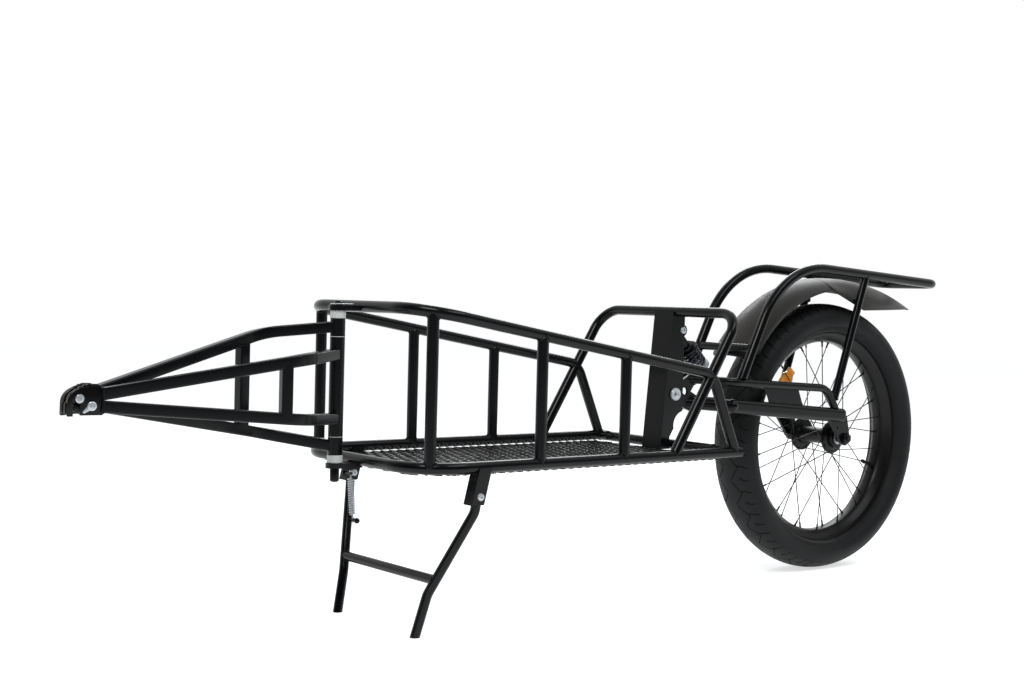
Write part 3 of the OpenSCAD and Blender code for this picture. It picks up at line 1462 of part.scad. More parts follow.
placed() fender_front();
placed() fender_tail();
placed() fender_mounts();
placed() axle();
placed() tyre();
placed() rim();
placed() spokes();
placed() hub();
placed() hub_bearings();
placed() reflector();
placed() valve_stem();
placed() shock_body();
placed() shock_coil();
placed() shock_shaft();
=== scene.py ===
import json
from math import asin, atan2, cos, hypot, pi, radians, sin, sqrt, tan

import bmesh
import bpy
from mathutils import Matrix, Vector


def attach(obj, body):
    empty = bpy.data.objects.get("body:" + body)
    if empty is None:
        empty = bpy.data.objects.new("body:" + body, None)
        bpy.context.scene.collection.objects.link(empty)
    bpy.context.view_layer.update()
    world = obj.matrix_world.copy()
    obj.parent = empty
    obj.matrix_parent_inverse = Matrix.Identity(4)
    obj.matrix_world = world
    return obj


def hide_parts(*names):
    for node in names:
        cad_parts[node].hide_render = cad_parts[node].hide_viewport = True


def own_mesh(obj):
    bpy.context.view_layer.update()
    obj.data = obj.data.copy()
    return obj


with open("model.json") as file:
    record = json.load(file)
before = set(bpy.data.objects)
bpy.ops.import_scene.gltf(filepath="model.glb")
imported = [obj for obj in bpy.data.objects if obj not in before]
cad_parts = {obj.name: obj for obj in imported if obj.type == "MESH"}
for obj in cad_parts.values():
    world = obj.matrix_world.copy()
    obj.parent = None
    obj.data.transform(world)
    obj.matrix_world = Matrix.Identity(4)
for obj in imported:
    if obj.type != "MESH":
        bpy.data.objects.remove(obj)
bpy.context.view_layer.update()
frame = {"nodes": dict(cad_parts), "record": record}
nodes = frame["nodes"]

# Sizes are in millimetres and are measured from the point of the floor below the wheel's axle.
MID_X = -662.661
AXLE_Z = 272.5
TUBE_R = 9.5
STAY_R = 8.0
STAY_Y = 72.0
RAIL_Y = 183.5
RAIL_Z = 273.0
RAIL_FALL = tan(radians(9.6))
NOSE_X = -1123.0
NOSE_Z = 520.0
NOSE_R = 80.0
CAGE_X = -438.0
HINGE_X = -1164.0
PIVOT_X, PIVOT_Z = -437, 367
SHOCK_TOP = Vector((-420, 0, 487))
SHOCK_LOW = Vector((-333, 0, 400))
STAND_KNEE = Vector((-1018.0, 183.5, 205.0))
STAND_LOW = Vector((-1064.5, 124.0, 68.0))
FULL_TURN = 2 * pi
WHITE = (1.0, 1.0, 1.0, 1.0)


def mm(x, y, z):
    """A place in the frame's metres, from millimetres measured from below the axle."""
    return Vector(((x - MID_X) / 1000, y / 1000, z / 1000))


def flat(x, y, z):
    """A direction or an offset in metres, from millimetres."""
    return Vector((x, y, z)) / 1000


def last_made(name):
    """The object that Blender's last call made, under its name."""
    made = bpy.context.active_object
    made.name = name
    return made


# Camera and studio

def add_camera():
    """Camera at the photograph's place and with its focal length."""
    yaw, pitch, roll = radians(38.244), radians(-1.586), radians(1.478)
    ahead = Vector((sin(yaw) * cos(pitch), cos(yaw) * cos(pitch), sin(pitch)))
    level = Vector((cos(yaw), -sin(yaw), 0.0))
    upright = level.cross(ahead)
    right = level * cos(roll) + upright * sin(roll)
    up = upright * cos(roll) - level * sin(roll)
    bpy.ops.object.camera_add()
    camera = last_made("camera")
    camera.data.sensor_width = 36.0
    camera.data.lens = 53.73
    camera.data.clip_start = 0.01
    turn = Matrix((right, up, -ahead)).transposed().to_4x4()
    camera.matrix_world = Matrix.Translation(mm(-2453.97, -2086.34, 538.44)) @ turn
    bpy.context.scene.camera = camera


def add_soft_light(name, place, target, size, power, colour):
    bpy.ops.object.light_add(type="AREA", location=place)
    lamp = last_made(name)
    lamp.data.shape = "RECTANGLE"
    lamp.data.size, lamp.data.size_y = size
    lamp.data.energy = power
    lamp.data.color = colour
    lamp.rotation_euler = (Vector(target) - Vector(place)).to_track_quat("-Z", "Y").to_euler()


def add_node(tree, kind, values=None, **settings):
    """A shader node with its settings, and with the values of its inputs by their name or number."""
    node = tree.nodes.new("ShaderNode" + kind)
    for name, value in settings.items():
        setattr(node, name, value)
    for name, value in (values or {}).items():
        node.inputs[name].default_value = value
    return node


def link_up(tree, *rows):
    """Links nodes; each row is a node and its output, then a node and its input."""
    for source, given, target, taken in rows:
        tree.links.new(source.outputs[given], target.inputs[taken])


def add_seen_rays(tree):
    """Gives 1 for camera, glossy and transmission rays, so that metal shows the backdrop too."""
    path = add_node(tree, "LightPath")
    first = add_node(tree, "Math", operation="MAXIMUM")
    second = add_node(tree, "Math", operation="MAXIMUM")
    link_up(tree, (path, "Is Camera Ray", first, 0), (path, "Is Glossy Ray", first, 1), (first, 0, second, 0),
            (path, "Is Transmission Ray", second, 1))
    return second.outputs[0]


def add_dark_room(tree, place, darkest, whitest, least):
    """Gives 1 for the camera's rays. Gloss sees a dark room before the trailer fade to white behind it."""
    path = add_node(tree, "LightPath")
    along = add_node(tree, "VectorMath", {1: (0.62, 0.785, 0.0)}, operation="DOT_PRODUCT")
    fade = add_node(tree, "MapRange", {"From Min": darkest, "From Max": whitest, "To Min": least},
                    interpolation_type="SMOOTHSTEP")
    brighter = add_node(tree, "Math", operation="MAXIMUM")
    tree.links.new(place, along.inputs[0])
    link_up(tree, (along, "Value", fade, "Value"), (fade, "Result", brighter, 0),
            (path, "Is Camera Ray", brighter, 1))
    return brighter.outputs[0]


def add_white_backdrop():
    world = bpy.data.worlds.new("studio")
    bpy.context.scene.world = world
    world.use_nodes = True
    tree = world.node_tree
    tree.nodes.clear()
    soft = add_node(tree, "Background", {"Color": (0.93, 0.96, 1.0, 1.0), "Strength": 0.5})
    white = add_node(tree, "Background", {"Color": WHITE})
    place = add_node(tree, "TexCoord").outputs["Generated"]
    tree.links.new(add_dark_room(tree, place, -0.45, 0.6, 0.02), white.inputs["Strength"])
    mix = add_node(tree, "MixShader")
    tree.links.new(add_seen_rays(tree), mix.inputs[0])
    link_up(tree, (soft, 0, mix, 1), (white, 0, mix, 2), (mix, 0, add_node(tree, "OutputWorld"), "Surface"))


def add_white_floor():
    """Floor that keeps the shadow and runs into the white backdrop."""
    bpy.ops.mesh.primitive_plane_add(size=24.0)
    floor = last_made("studio_floor")
    material = bpy.data.materials.new("studio_floor")
    material.use_nodes = True
    tree = material.node_tree
    tree.nodes.clear()
    paint = add_node(tree, "BsdfDiffuse", {"Color": (0.8, 0.8, 0.8, 1.0)})
    glow = add_node(tree, "Emission", {"Color": WHITE})
    strength = add_node(tree, "Math", {1: 0.62}, operation="MULTIPLY")
    faded = add_node(tree, "Math", operation="MULTIPLY")
    both = add_node(tree, "AddShader")
    place = add_node(tree, "TexCoord").outputs["Object"]
    tree.links.new(add_seen_rays(tree), strength.inputs[0])
    tree.links.new(add_dark_room(tree, place, -2.4, -1.0, 0.0), faded.inputs[1])
    link_up(tree, (strength, 0, faded, 0), (faded, 0, glow, "Strength"), (paint, 0, both, 0),
            (glow, 0, both, 1), (both, 0, add_node(tree, "OutputMaterial"), "Surface"))
    floor.data.materials.append(material)


# Finishes

def start_group(name, inputs, outputs):
    """A node group with its sockets, given as rows of a name, a kind and, for an input, its value."""
    group = bpy.data.node_groups.new(name, "ShaderNodeTree")
    for label, kind, value in inputs:
        socket = group.interface.new_socket(name=label, in_out="INPUT", socket_type="NodeSocket" + kind)
        socket.default_value = value
    for label, kind in outputs:
        group.interface.new_socket(name=label, in_out="OUTPUT", socket_type="NodeSocket" + kind)
    return group, group.nodes.new("NodeGroupInput"), group.nodes.new("NodeGroupOutput")


def make_grain_group():
    """Roughness that varies in wide patches, and the fine grain of a painted or moulded surface."""
    group, given, out = start_group(
        "surface_grain", (("Grain size", "Float", 900.0), ("Grain height", "Float", 0.05),
                          ("Smoothest", "Float", 0.3), ("Roughest", "Float", 0.4)),
        (("Roughness", "Float"), ("Normal", "Vector")))
    place = add_node(group, "TexCoord")
    fine = add_node(group, "TexNoise", {"Detail": 3.0})
    wide = add_node(group, "TexNoise", {"Scale": 14.0, "Detail": 4.0})
    spread = add_node(group, "MapRange", {"From Min": 0.3, "From Max": 0.7})
    bump = add_node(group, "Bump", {"Distance": 0.0006})
    link_up(group, (place, "Object", fine, "Vector"), (place, "Object", wide, "Vector"),
            (given, "Grain size", fine, "Scale"), (wide, "Fac", spread, "Value"),
            (given, "Smoothest", spread, "To Min"), (given, "Roughest", spread, "To Max"),
            (fine, "Fac", bump, "Height"), (given, "Grain height", bump, "Strength"),
            (spread, "Result", out, "Roughness"), (bump, "Normal", out, "Normal"))
    return group


def make_patch_group():
    """A colour with a second one in soft patches, as dust and handling leave them."""
    group, given, out = start_group(
        "patchy_colour", (("Colour", "Color", (0.02, 0.02, 0.02, 1.0)),
                          ("Second colour", "Color", (0.04, 0.04, 0.04, 1.0)),
                          ("Patch size", "Float", 20.0), ("Amount", "Float", 0.5)), (("Colour", "Color"),))
    place = add_node(group, "TexCoord")
    noise = add_node(group, "TexNoise", {"Detail": 6.0, "Roughness": 0.65})
    ramp = add_node(group, "MapRange", {"From Min": 0.42, "From Max": 0.72})
    mix = add_node(group, "Mix", data_type="RGBA")
    link_up(group, (place, "Object", noise, "Vector"), (given, "Patch size", noise, "Scale"),
            (noise, "Fac", ramp, "Value"), (given, "Amount", ramp, "To Max"), (ramp, "Result", mix, "Factor"),
            (given, "Colour", mix, 6), (given, "Second colour", mix, 7), (mix, 2, out, "Colour"))
    return group


grain_group = make_grain_group()
patch_group = make_patch_group()


def finish_of(name, colour, second, patch, amount, rough, grain, height, metallic=0.0, specular=0.5,
              coat=0.0, coat_rough=0.1):
    """A finish whose colour and roughness vary a little over the surface."""
    material = bpy.data.materials.new(name)
    material.use_nodes = True
    tree = material.node_tree
    shader = tree.nodes["Principled BSDF"]
    shader.inputs["Metallic"].default_value = metallic
    shader.inputs["Specular IOR Level"].default_value = specular
    shader.inputs["Coat Weight"].default_value = coat
    shader.inputs["Coat Roughness"].default_value = coat_rough
    tint = add_node(tree, "Group", {"Colour": (*colour, 1.0), "Second colour": (*second, 1.0),
                                    "Patch size": patch, "Amount": amount}, node_tree=patch_group)
    skin = add_node(tree, "Group", {"Grain size": grain, "Grain height": height, "Smoothest": rough[0],
                                    "Roughest": rough[1]}, node_tree=grain_group)
    link_up(tree, (tint, "Colour", shader, "Base Color"), (skin, "Roughness", shader, "Roughness"),
            (skin, "Normal", shader, "Normal"))
    return material


finishes = {
    "frame_paint": finish_of("gloss_black_paint", (0.003, 0.0033, 0.0038), (0.0055, 0.006, 0.007), 9.0, 0.6,
                             (0.17, 0.25), 700.0, 0.03, specular=0.23),
    "floor_paint": finish_of("satin_black_paint", (0.004, 0.0043, 0.0047), (0.009, 0.009, 0.01), 30.0, 0.7,
                             (0.28, 0.4), 900.0, 0.08, specular=0.27),
    "black_metal": finish_of("black_anodised_metal", (0.003, 0.003, 0.0035), (0.007, 0.007, 0.008), 40.0, 0.6,
                             (0.28, 0.4), 1200.0, 0.08, specular=0.23),
    "bushing": finish_of("ivory_nylon", (0.62, 0.65, 0.62), (0.5, 0.52, 0.49), 60.0, 0.5,
                         (0.35, 0.5), 1500.0, 0.05),
    "zinc": finish_of("zinc_plated_steel", (0.62, 0.66, 0.69), (0.42, 0.45, 0.48), 160.0, 0.6,
                      (0.3, 0.45), 1800.0, 0.06, metallic=0.6),
    "fender": finish_of("charcoal_fender", (0.028, 0.026, 0.024), (0.04, 0.037, 0.034), 7.0, 0.6,
                        (0.38, 0.48), 1400.0, 0.1, specular=0.3),
    "tyre": finish_of("tyre_rubber", (0.009, 0.0095, 0.0102), (0.013, 0.0134, 0.014), 16.0, 0.7,
                      (0.5, 0.62), 1100.0, 0.2, specular=0.2),
    "spoke": finish_of("black_spoke_steel", (0.008, 0.008, 0.009), (0.015, 0.015, 0.016), 80.0, 0.5,
                       (0.3, 0.4), 900.0, 0.02, specular=0.3),
    "reflector": finish_of("amber_reflector", (1.0, 0.36, 0.008), (0.95, 0.27, 0.006), 90.0, 0.6,
                           (0.12, 0.25), 300.0, 0.1, coat=0.6, coat_rough=0.08),
    "coil": finish_of("blue_black_spring_paint", (0.006, 0.007, 0.016), (0.012, 0.013, 0.026), 60.0, 0.5,
                      (0.22, 0.32), 900.0, 0.05, specular=0.45),
}


def paint_the_frame():
    """Gives every CAD node the finish of its slot."""
    for row in frame["record"]["subparts"]:
        made = nodes[row["node"]].data.materials
        made.clear()
        made.append(finishes[row["material_slot"]])


# Workshop: ways of making a piece

def pick(piece):
    """Selects this piece alone and makes it the active one."""
    bpy.ops.object.select_all(action="DESELECT")
    bpy.context.view_layer.objects.active = piece
    piece.select_set(True)


def start_edit(piece):
    pick(piece)
    bpy.ops.object.mode_set(mode="EDIT")
    bpy.ops.mesh.select_all(action="SELECT")


def end_edit():
    bpy.ops.object.mode_set(mode="OBJECT")


def extrude(offset):
    bpy.ops.mesh.extrude_region_move(TRANSFORM_OT_translate={"value": offset})


def select_where(piece, kind, wanted):
    """In edit mode, selects the faces or the vertices that pass the test."""
    bpy.ops.mesh.select_mode(type=kind)
    bpy.ops.mesh.select_all(action="DESELECT")
    shape = bmesh.from_edit_mesh(piece.data)
    for part in shape.faces if kind == "FACE" else shape.verts:
        part.select_set(wanted(part))
    bmesh.update_edit_mesh(piece.data)


def clean_up(piece):
    """Merges doubles and turns the faces outwards."""
    start_edit(piece)
    bpy.ops.mesh.remove_doubles(threshold=0.000002)
    bpy.ops.mesh.dissolve_degenerate(threshold=0.000001)
    bpy.ops.mesh.normals_make_consistent(inside=False)
    end_edit()


def settle(piece):
    """Puts the piece's place in its mesh, with its object at the origin."""
    pick(piece)
    bpy.ops.object.transform_apply(location=True, rotation=True, scale=True)


def use_modifier(piece, kind, **values):
    pick(piece)
    modifier = piece.modifiers.new(kind.lower(), kind)
    for name, value in values.items():
        setattr(modifier, name, value)
    bpy.ops.object.modifier_apply(modifier=modifier.name)


def round_edges(piece, width, segments=2, angle=35):
    use_modifier(piece, "BEVEL", width=width / 1000, segments=segments, limit_method="ANGLE",
                 angle_limit=radians(angle), use_clamp_overlap=True)


def level_shading(piece):
    """Lets the wide faces set the normals, so that flats look flat between their rounded corners."""
    use_modifier(piece, "WEIGHTED_NORMAL", keep_sharp=True, weight=80)


def cut_away(piece, cutter, operation="DIFFERENCE", solver="EXACT"):
    """Takes the cutter's shape out of the piece, or with INTERSECT keeps only what lies inside it."""
    use_modifier(piece, "BOOLEAN", operation=operation, solver=solver, object=cutter)
    bpy.data.objects.remove(cutter)


def join_pieces(pieces, name):
    pick(pieces[0])
    for piece in pieces:
        piece.select_set(True)
    bpy.ops.object.join()
    pieces[0].name = name
    return pieces[0]


def copy_of(piece, name, turn):
    """A copy with its own mesh, moved by the matrix turn."""
    pick(piece)
    bpy.ops.object.duplicate(linked=False)
    made = last_made(name)
    made.data.transform(turn)
    return made


def about(centre, axis, angle):
    """Matrix of a turn about a line."""
    return Matrix.Translation(centre) @ Matrix.Rotation(angle, 4, axis) @ Matrix.Translation(-centre)


def unit(v):
    return Vector(v).normalized()


def across(axis):
    """A direction at right angles to the axis."""
    axis = axis.normalized()
    start = Vector((0, 0, 1)) if abs(axis.z) < 0.9 else Vector((1, 0, 0))
    return (start - axis * start.dot(axis)).normalized()


def closed_line(name, places):
    """A ring of vertices at the places, joined by edges."""
    bpy.ops.mesh.primitive_circle_add(vertices=len(places), radius=0.01)
    piece = last_made(name)
    for vertex, place in zip(piece.data.vertices, places):
        vertex.co = place
    return piece


def turned(name, section, centre, axis, steps=48, out=None, angle=FULL_TURN):
    """A piece turned on a lathe: a closed section of (radius, along) points in millimetres."""
    axis = unit(axis)
    out = unit(out) if out else across(axis)
    piece = closed_line(name, [centre + (out * radius + axis * along) / 1000 for radius, along in section])
    start_edit(piece)
    if angle < FULL_TURN:
        bpy.ops.mesh.edge_face_add()
    bpy.ops.mesh.spin(steps=steps, angle=angle, center=centre, axis=axis, use_auto_merge=True)
    end_edit()
    clean_up(piece)
    return piece


def curve_along(name, places, closed=False, **settings):
    """A curve through the places; the settings give it its section."""
    line = bpy.data.curves.new(name, "CURVE")
    for key, value in settings.items():
        setattr(line, key, value)
    run = line.splines.new("POLY")
    run.points.add(len(places) - 1)
    for point, place in zip(run.points, places):
        point.co = (*place, 1.0)
    run.use_cyclic_u = closed
    piece = bpy.data.objects.new(name, line)
    bpy.context.scene.collection.objects.link(piece)
    return piece


def turn_into_mesh(curve):
    pick(curve)
    bpy.ops.object.convert(target="MESH")
    clean_up(curve)
    return curve


def wire(name, points, radius, sides=8, closed=False):
    """A round wire along the points."""
    return turn_into_mesh(curve_along(name, points, closed, dimensions="3D", bevel_depth=radius / 1000,
                                      bevel_resolution=max(sides // 2 - 2, 0), use_fill_caps=True))


def finish_piece(piece, slot, body, *replaced, angle=40):
    """Gives a finished piece its finish and its body, and hides the CAD nodes that it stands for."""
    settle(piece)
    piece.data.materials.clear()
    piece.data.materials.append(finishes[slot])
    bpy.ops.object.shade_smooth_by_angle(angle=radians(angle))
    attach(piece, body)
    if replaced:
        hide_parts(*replaced)
    return piece


def fit(pieces, name, slot, body, angle=40):
    """Joins the pieces into the one that stands for the CAD node of that name."""
    return finish_piece(join_pieces(pieces, name), slot, body, name, angle=angle)


# Wheel

AXLE = mm(0, 0, AXLE_Z)
SIDEWAYS = Vector((0, 1, 0))


def mirrored_section(half):
    """Closes a half section given from the middle outwards, by its mirror image."""
    return half + [(radius, -along) for radius, along in reversed(half) if along != 0]


TREAD = [(272.3, 0), (272.0, 8), (270.7, 16), (268.5, 24), (265.5, 31), (262.0, 37), (259.2, 41.0)]
TREAD_PITCHES = 32
TREAD_R = 272.0


def tread_radius(y):
    """Radius of the tread's surface at a distance from the wheel's middle plane."""
    y = min(abs(y), TREAD[-1][1])
    for (r0, y0), (r1, y1) in zip(TREAD, TREAD[1:]):
        if y <= y1:
            return r0 + (r1 - r0) * (y - y0) / (y1 - y0)
    return TREAD[-1][0]


def groove(line, width, depth):
    """A cutter along a line of (part of a pitch, y) points, bent round the tread."""
    bpy.ops.mesh.primitive_grid_add(x_subdivisions=len(line) - 1, y_subdivisions=1, size=1.0)
    cutter = last_made("groove")
    arc = FULL_TURN * TREAD_R / TREAD_PITCHES
    rows = sorted(set(round(vertex.co.x, 4) for vertex in cutter.data.vertices))
    points = [Vector((s * arc, y)) for s, y in line]
    for vertex in cutter.data.vertices:
        i = rows.index(round(vertex.co.x, 4))
        before, after = points[max(i - 1, 0)], points[min(i + 1, len(points) - 1)]
        run = (after - before).normalized()
        side = Vector((-run.y, run.x)) * (width / 2 if vertex.co.y > 0 else -width / 2)
        vertex.co = Vector((points[i].x + side.x, points[i].y + side.y, -depth))
    start_edit(cutter)
    extrude((0, 0, depth + 3))
    end_edit()
    for vertex in cutter.data.vertices:
        s, y, h = vertex.co
        angle = s / TREAD_R
        radius = tread_radius(y) + h
        vertex.co = AXLE + flat(radius * cos(angle), y, radius * sin(angle))
    clean_up(cutter)
    return cutter


def smooth_line(points, each=3):
    """Points of a curve through the given ones."""
    made = []
    last = len(points) - 1
    for i in range(last):
        p0, p1 = Vector(points[max(i - 1, 0)]), Vector(points[i])
        p2, p3 = Vector(points[i + 1]), Vector(points[min(i + 2, last)])
        for k in range(each):
            t = k / each
            made.append(0.5 * (2 * p1 + (p2 - p0) * t + (2 * p0 - 5 * p1 + 4 * p2 - p3) * t * t
                               + (3 * p1 - p0 - 3 * p2 + p3) * t ** 3))
    made.append(Vector(points[last]))
    return made


def make_tyre():
    """Fat tyre: tread, a step at the shoulder, ribs near the bead, with grooves cut in the tread."""
    outer = TREAD + [(257.8, 42.0), (256.4, 42.9), (252, 45.6), (247, 47.9), (241, 48.8), (235, 48.4),
                     (229, 46.2), (225.4, 43.7), (224.6, 42.6), (224.0, 43.0), (222.8, 42.1), (222.3, 41.0),
                     (220.4, 39.1), (219.6, 39.3), (218.6, 38.2), (218.2, 36.9), (216.4, 34.0), (215.2, 30.6),
                     (214.5, 27.4), (214.4, 24.2), (213.6, 23.4), (209.5, 23.4), (209.5, 16.6), (217, 16.6)]
    inner = [(220, 24.0), (228, 34.6), (236, 41.2), (244, 43.4), (252, 40.6), (259, 34.0), (264.0, 24.0),
             (266.6, 12.0), (267.2, 0)]
    tyre = turned("tyre", mirrored_section(outer + inner), AXLE, SIDEWAYS, steps=128)
    long_groove = smooth_line([(0.04, 45.0), (0.02, 38.0), (-0.06, 31.0), (-0.02, 25.0)])
    short_groove = smooth_line([(0.54, 43.5), (0.53, 37.0), (0.47, 31.0), (0.4, 27.5)])
    grooves = ((long_groove, 2.0, 2.6), (((0.0, 26.5), (0.25, 18.0), (0.5, 7.5)), 1.7, 2.2),
               (((0.55, 8.2), (0.78, 17.0), (0.97, 24.6)), 1.7, 2.2), (short_groove, 2.0, 2.4))
    cutters = [groove([(s + shift, side * y) for s, y in line], width, depth)
               for side, shift in ((-1, 0.0), (1, 0.5)) for line, width, depth in grooves]
    one = join_pieces(cutters, "tread_cutter")
    start_edit(one)
    bpy.ops.mesh.spin(steps=TREAD_PITCHES - 1, angle=FULL_TURN * (TREAD_PITCHES - 1) / TREAD_PITCHES,
                      center=AXLE, axis=SIDEWAYS, dupli=True)
    end_edit()
    cut_away(tyre, one, solver="MANIFOLD")
    finish_piece(tyre, "tyre", "wheel", "tyre", angle=32)


SPOKE_COUNT = 36
SPOKE_HOLE_R = 29.0
FLANGE_Y = 40.0


def make_rim():
    """Narrow single rim with an arched inner face and hooked flanges."""
    half = [(193.8, 0), (193.8, 8.2), (194.3, 9.6), (196.9, 15.0), (203.8, 20.6), (206.6, 23.6), (209.4, 25.8),
            (213.2, 26.0), (213.9, 25.5), (213.9, 24.6), (213.0, 24.2), (211.4, 23.9), (209.1, 23.7), (209.1, 17.0),
            (199.6, 13.4), (196.6, 8.2), (196.6, 0)]
    rim = turned("rim", mirrored_section(half), AXLE, SIDEWAYS, steps=144)
    finish_piece(rim, "black_metal", "wheel", "rim", angle=38)


def wheel_point(radius, angle, y):
    return AXLE + flat(radius * cos(angle), y, radius * sin(angle))


def make_spoke(side, out):
    """One spoke with its elbow and head at the flange, and its nipple at the rim."""
    hole = wheel_point(SPOKE_HOLE_R, 0.0, side * FLANGE_Y)
    start = wheel_point(SPOKE_HOLE_R, 0.0, side * (FLANGE_Y + out * 3.2))
    rim_angle = out * radians(60.0)
    seat = wheel_point(193.5, rim_angle, side * (7 + out * 0.8))
    aim = (seat - start).normalized()
    inner = wheel_point(SPOKE_HOLE_R, 0.0, side * (FLANGE_Y - out * 2.4))
    line = [inner, hole, start + (hole - start) * 0.3, start + aim * 0.002, seat]
    rod = wire("spoke", line, 1.0, sides=6)
    head = turned("spoke_head", [(0, -0.4), (2.0, -0.4), (2.0, 0.3), (1.0, 0.9), (0, 0.9)], inner,
                  Vector((0, side * out, 0)), steps=8)
    nipple = turned("nipple", [(1.0, 0), (1.8, 0.5), (1.8, 8.0), (2.6, 10.5), (2.6, 12.2), (1.0, 12.2)],
                    seat - aim * 0.011, aim, steps=8)
    return join_pieces([rod, head, nipple], "spoke")


def make_spokes():
    """Thirty-six crossed spokes, four kinds modelled once and copied round the hub."""
    pieces = []
    per_side = SPOKE_COUNT // 2
    for side in (-1, 1):
        for out in (-1, 1):
            first = make_spoke(side, out)
            start = (0.0 if side > 0 else pi / per_side) + (0.0 if out > 0 else FULL_TURN / per_side)
            for k in range(per_side // 2):
                angle = start + k * 2 * FULL_TURN / per_side
                pieces.append(copy_of(first, "spoke", about(AXLE, SIDEWAYS, -angle)))
            bpy.data.objects.remove(first)
    fit(pieces, "spokes", "spoke", "wheel", angle=50)


def make_hub():
    """Hub shell: a waisted barrel between two dished flanges with spoke holes."""
    half = [(16.0, 0), (16.0, 24.0), (17.0, 31.0), (20.5, 36.5), (24.0, 37.9), (33.2, 38.2), (34.0, 39.0),
            (34.0, 41.0), (33.2, 41.8), (25.5, 42.2), (22.0, 44.5), (20.8, 48.0), (20.8, 54.2), (19.6, 55.8),
            (14.3, 55.9), (14.3, 48.0), (7.5, 47.8)]
    hub = turned("hub", mirrored_section(half), AXLE, SIDEWAYS, steps=72)
    holes = []
    for side in (-1, 1):
        for k in range(SPOKE_COUNT // 2):
            angle = FULL_TURN * k / (SPOKE_COUNT // 2) + (0 if side > 0 else FULL_TURN / SPOKE_COUNT)
            bpy.ops.mesh.primitive_cylinder_add(vertices=10, radius=0.0014, depth=0.012,
                                                location=wheel_point(SPOKE_HOLE_R, angle, side * FLANGE_Y),
                                                rotation=(pi / 2, 0, 0))
            hole = last_made("spoke_hole")
            settle(hole)
            holes.append(hole)
    cut_away(hub, join_pieces(holes, "spoke_holes"))
    finish_piece(hub, "black_metal", "wheel", "hub", angle=35)


# Cage details

def rail_top_z(x):
    """Height of the upper rail's centre."""
    return NOSE_Z - RAIL_FALL * (x - NOSE_X)


def make_floor_cutter():
    """Solid with the floor's outline: round front corners and a notch for each stand bracket."""
    bpy.ops.mesh.primitive_plane_add(size=1.0)
    cutter = last_made("floor_cutter")
    for vertex in cutter.data.vertices:
        x = -1118.8 if vertex.co.x < 0 else -448.7
        vertex.co = mm(x, 183.3 if vertex.co.y > 0 else -183.3, 255.0)
    start_edit(cutter)
    select_where(cutter, "VERT", lambda vertex: vertex.co.x < mm(-1000, 0, 0).x)
    bpy.ops.mesh.bevel(offset=0.0798, segments=12, affect="VERTICES")
    bpy.ops.mesh.select_all(action="SELECT")
    extrude((0, 0, 0.02))
    end_edit()
    clean_up(cutter)
    for side in (-1, 1):
        bpy.ops.mesh.primitive_cube_add(size=1.0, location=mm(-1010, side * 185.0, 262.0),
                                        scale=(0.029, 0.0264, 0.05))
        notch = last_made("notch")
        settle(notch)
        cut_away(cutter, notch)
    return cutter


def make_floor_mesh():
    """Expanded metal: rows of diamonds with strands that lean, cut to the outline of the floor."""
    along, across_way, strand = 18.0, 44.0, 1.35
    bpy.ops.mesh.primitive_circle_add(vertices=4, radius=1.0, fill_type="NGON")
    sheet = last_made("sheet")
    for vertex in sheet.data.vertices:
        vertex.co = flat(vertex.co.x * along / 2, vertex.co.y * across_way / 2, 0)
    start_edit(sheet)
    bpy.ops.mesh.inset(thickness=strand / 1000, use_even_offset=True)
    bpy.ops.mesh.delete(type="FACE")
    end_edit()
    for vertex in sheet.data.vertices:
        vertex.co.z += 0.35 / 1000 * cos(vertex.co.x / flat(along, 0, 0).x * FULL_TURN)
    second = copy_of(sheet, "second_row", Matrix.Translation(flat(along / 2, across_way / 2, 0)))
    sheet = join_pieces([sheet, second], "floor_mesh")
    for count, step in ((39, flat(along, 0, 0)), (10, flat(0, across_way, 0))):
        use_modifier(sheet, "ARRAY", count=count, use_relative_offset=False, use_constant_offset=True,
                     constant_offset_displace=step)
    start_edit(sheet)
    bpy.ops.mesh.remove_doubles(threshold=0.0004)
    extrude((0, 0, 0.0016))
    bpy.ops.mesh.select_all(action="SELECT")
    bpy.ops.transform.translate(value=mm(-1126.0, -210.0, 261.45))
    end_edit()
    clean_up(sheet)
    cut_away(sheet, make_floor_cutter(), "INTERSECT", "MANIFOLD")
    finish_piece(sheet, "floor_paint", "frame", "floor_mesh", angle=30)


def weld_bead(foot, axis, host_axis, radius=TUBE_R, host_radius=TUBE_R, bead=1.7):
    """Bead where a tube that starts at foot meets another tube, as a ring moved to the saddle between them."""
    axis, host = unit(axis), unit(host_axis)
    u = across(axis)
    v = axis.cross(u)
    bpy.ops.mesh.primitive_torus_add(major_segments=44, minor_segments=8, major_radius=radius / 1000,
                                     minor_radius=bead / 1000)
    ring = last_made("weld_bead")
    for vertex in ring.data.vertices:
        turn = atan2(vertex.co.y, vertex.co.x)
        swell = 1 + 0.1 * sin(22 * turn)
        out = (hypot(vertex.co.x, vertex.co.y) * 1000 - radius) * swell
        up = vertex.co.z * 1000 * swell
        way = u * cos(turn) + v * sin(turn)
        w = way * radius - host * (way * radius).dot(host)
        a = axis - host * axis.dot(host)
        inside = max(w.dot(a) ** 2 - a.dot(a) * (w.dot(w) - host_radius ** 2), 0)
        lift = (-w.dot(a) + sqrt(inside)) / a.dot(a)
        vertex.co = mm(*foot) + (way * (radius + out) + axis * (lift + up)) / 1000
    clean_up(ring)
    return ring


